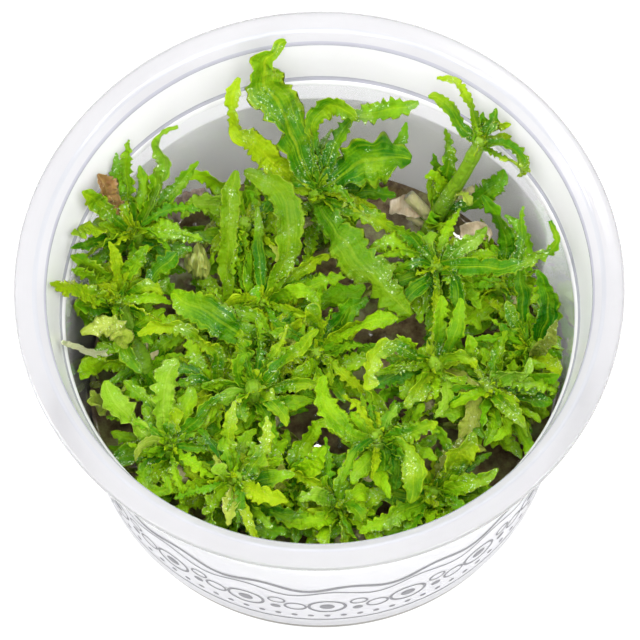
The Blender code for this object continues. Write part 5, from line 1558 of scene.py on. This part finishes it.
def add_star(heap, root, tips, tint, rng):
    """Leaves of one whorl, with shorter ones between them."""
    arms = [(root + (tip - root) * 1.22, 1.0, 0.6) for tip in tips if (tip - root).length > 2.0]
    for a, b in zip(tips, tips[1:] + tips[:1]):
        middle = (a + b) * 0.5 - root
        reach = min((a - root).length, (b - root).length) * rng.uniform(0.6, 0.85)
        if reach > 2.0 and middle.length > 1.0:
            arms.append((root + middle.normalized() * reach, 0.85, rng.uniform(0.5, 1.6)))
    lift = Vector((0.0, 0.0, 1.0))
    for tip, share, raised in arms:
        reach = (tip - root).length
        count = max(8, int(reach / COARSE))
        width = min(3.6, 1.4 + reach * 0.26) * share
        sway = Vector((tip.y - root.y, root.x - tip.x, 0.0)) * rng.uniform(-0.15, 0.15)
        line = []
        for i in range(count + 1):
            t = i / count
            swell = math.sin(math.pi * t)
            at = root.lerp(tip, t) + lift * (0.12 * reach * swell + raised * t) + sway * swell
            line.append((at, width * leaf_width(t, 0.5)))
        lay_leaf(heap, line, 25, tint + tint + "g", rng)


def add_runners(heap, stem, rng):
    """Old, narrow stalks and leaves that lie low round the foot of a plantlet."""
    for k in range(RUNNERS):
        out = compass(rng.uniform(0.0, 2.0 * math.pi))
        start = Vector(stem[0][:3]) + Vector((0.0, 0.0, rng.uniform(*RUNNER_START)))
        reach = rng.uniform(*RUNNER_REACH)
        bend = rng.uniform(*RUNNER_BEND)
        width = rng.uniform(*RUNNER_WIDTH)

        def height(t):
            return RUNNER_ARCH * math.sin(2.4 * t)

        line = bowed(start, out, reach, bend, height, width, 0.6, int(reach / COARSE))
        lay_leaf(heap, line, 40, "ooogd", rng, 0.6)


def add_stubs(heap, stem, rng):
    """Pale, blunt ends of cut side shoots that lean out low on a stem."""
    for k in range(STUBS):
        root = along(stem, rng.uniform(0.3, 0.75))[0]
        out = compass(rng.uniform(0.0, 2.0 * math.pi), rng.uniform(0.1, 0.8))
        reach = rng.uniform(3.5, 6.0)
        girth = rng.uniform(0.7, 1.15)
        line = inside([(root + out * (reach * share), 2.0 * girth) for share in STUB_SHARES])
        rows = []
        for (at, width), (side, face) in zip(line, frames(line, 0.0)):
            rows.append([at + (side * x + face * y) * girth for x, y in circle(STUB_SIDES)])
        add_round(heap, rows, "t")


def add_companions(heap, stem, leaves, rng):
    """Shorter leaves that fill the gaps between the main ones of a crown."""
    crown = [leaf for leaf in leaves if len(leaf) > 3 and leaf[0] in "ygdw"]
    crown.sort(key=lambda leaf: leaf[2] % 360.0)
    for a, b in zip(crown, crown[1:] + crown[:1]):
        gap = (b[2] - a[2]) % 360.0 or 360.0
        fills = 2 if gap > WIDE_GAP else 1
        for k in range(fills):
            heading = a[2] + gap * (k + 1.0) / (fills + 1.0) + rng.uniform(-12.0, 12.0)
            tint = rng.choice(("g", "g", "d", "y"))
            place = min(a[1], b[1]) - rng.uniform(0.04, 0.14)
            reach = min(a[3], b[3]) * rng.uniform(0.55, 0.95)
            rise = min(a[4], b[4]) * 0.5 + rng.uniform(-1.0, 2.0)
            bend = rng.uniform(-45.0, 45.0)
            leaf = (tint, max(0.3, place), heading, reach, rise, a[5], bend, rng.uniform(2.0, 3.0), 0.5)
            line, twist = fine_route(stem, leaf, 8)
            add_leaf(heap, inside(line), twist, tint, rng)


def fine_route(stem, leaf, count):
    """Close stations of a leaf, as many as the length of a coarse line asks for."""
    line = leaf_route(stem, leaf, count)[0]
    run = sum((b[0] - a[0]).length for a, b in zip(line, line[1:]))
    return leaf_route(stem, leaf, max(10, min(60, int(run / STATION))))


def make_plantlets():
    """Every plantlet, with its leaves where the solids have them, and the small ones."""
    rooms, placed = settle_leaves()
    stars = settle_whorls(placed)
    for row, (name, stem, leaves) in enumerate(PLANTS):
        rng = random.Random(row + 7)
        heap = Heap()
        add_stem(heap, stem)
        for number, leaf in enumerate(leaves):
            if (name, number) not in rooms:
                continue
            line, twist = fine_route(stem, leaf, leaf_count(leaf))
            line = inside(moved(line, *rooms[name, number]))
            ruffle = FLAT_RUFFLE if leaf[0] == "r" else 1.0
            tint = "m" if (name, number) in DEEP_LEAVES else leaf[0]
            add_leaf(heap, line, twist, tint, rng, ruffle)
        for number in range(len(WHORLS)):
            if (name, number) not in stars:
                continue
            root, tips = stars[name, number]
            add_star(heap, root, tips, "d" if number == 0 else "g", rng)
        add_companions(heap, stem, leaves, rng)
        add_runners(heap, stem, rng)
        add_stubs(heap, stem, rng)
        if name != BARE_STALK:
            add_strips(heap, stem, rng)
        young_leaves(heap, stem, rng)
        heap.build(name + "_foliage", name)


def add_clump(heap, line):
    """Rotten ball of leaf: a lumpy body along a line of (place, width)."""
    rows = []
    for k, (at, width) in enumerate(line):
        t = k / (len(line) - 1)
        girth = 0.5 * width * max(0.3, math.sqrt(max(0.0, 1.0 - (2.0 * t - 1.0) ** 4)))
        row = []
        for x, y in circle(CLUMP_SIDES):
            out = Vector((0.0, x, 0.8 * y))
            spot = at + out * girth
            lump = noise.noise(spot * 0.8) + 0.7 * noise.noise(spot * 1.9) + 0.35 * noise.noise(spot * 4.0)
            row.append(at + out * (girth * (1.0 + 0.6 * lump)))
        rows.append(row)
    add_round(heap, rows, "b")


def make_loose():
    """Dead leaf pieces: curled strips and flakes, and one lumpy clump."""
    looks = {}
    for kind, (light, dark) in HUSK_TONES.items():
        looks[kind] = husk_look(kind + "_leaf", light, dark)
    for name, thick, route in LOOSE:
        heap = Heap()
        line = smooth_route(route, HUSK_STATIONS)
        if name == "olive_clump":
            add_clump(heap, line)
        else:
            add_leaf(heap, line, 0.0, "b", random.Random(len(name)), 0.5)
        look = looks[name.split("_")[0]]
        piece(name + "_husk", heap.verts, heap.faces, [look], name)


LOOKS = {tint: leaf_look(tint) for tint in LEAF_TINTS}
set_camera()
set_stage()
make_cup()
make_label()
make_print()
make_gel()
make_bubbles()
make_plantlets()
make_loose()
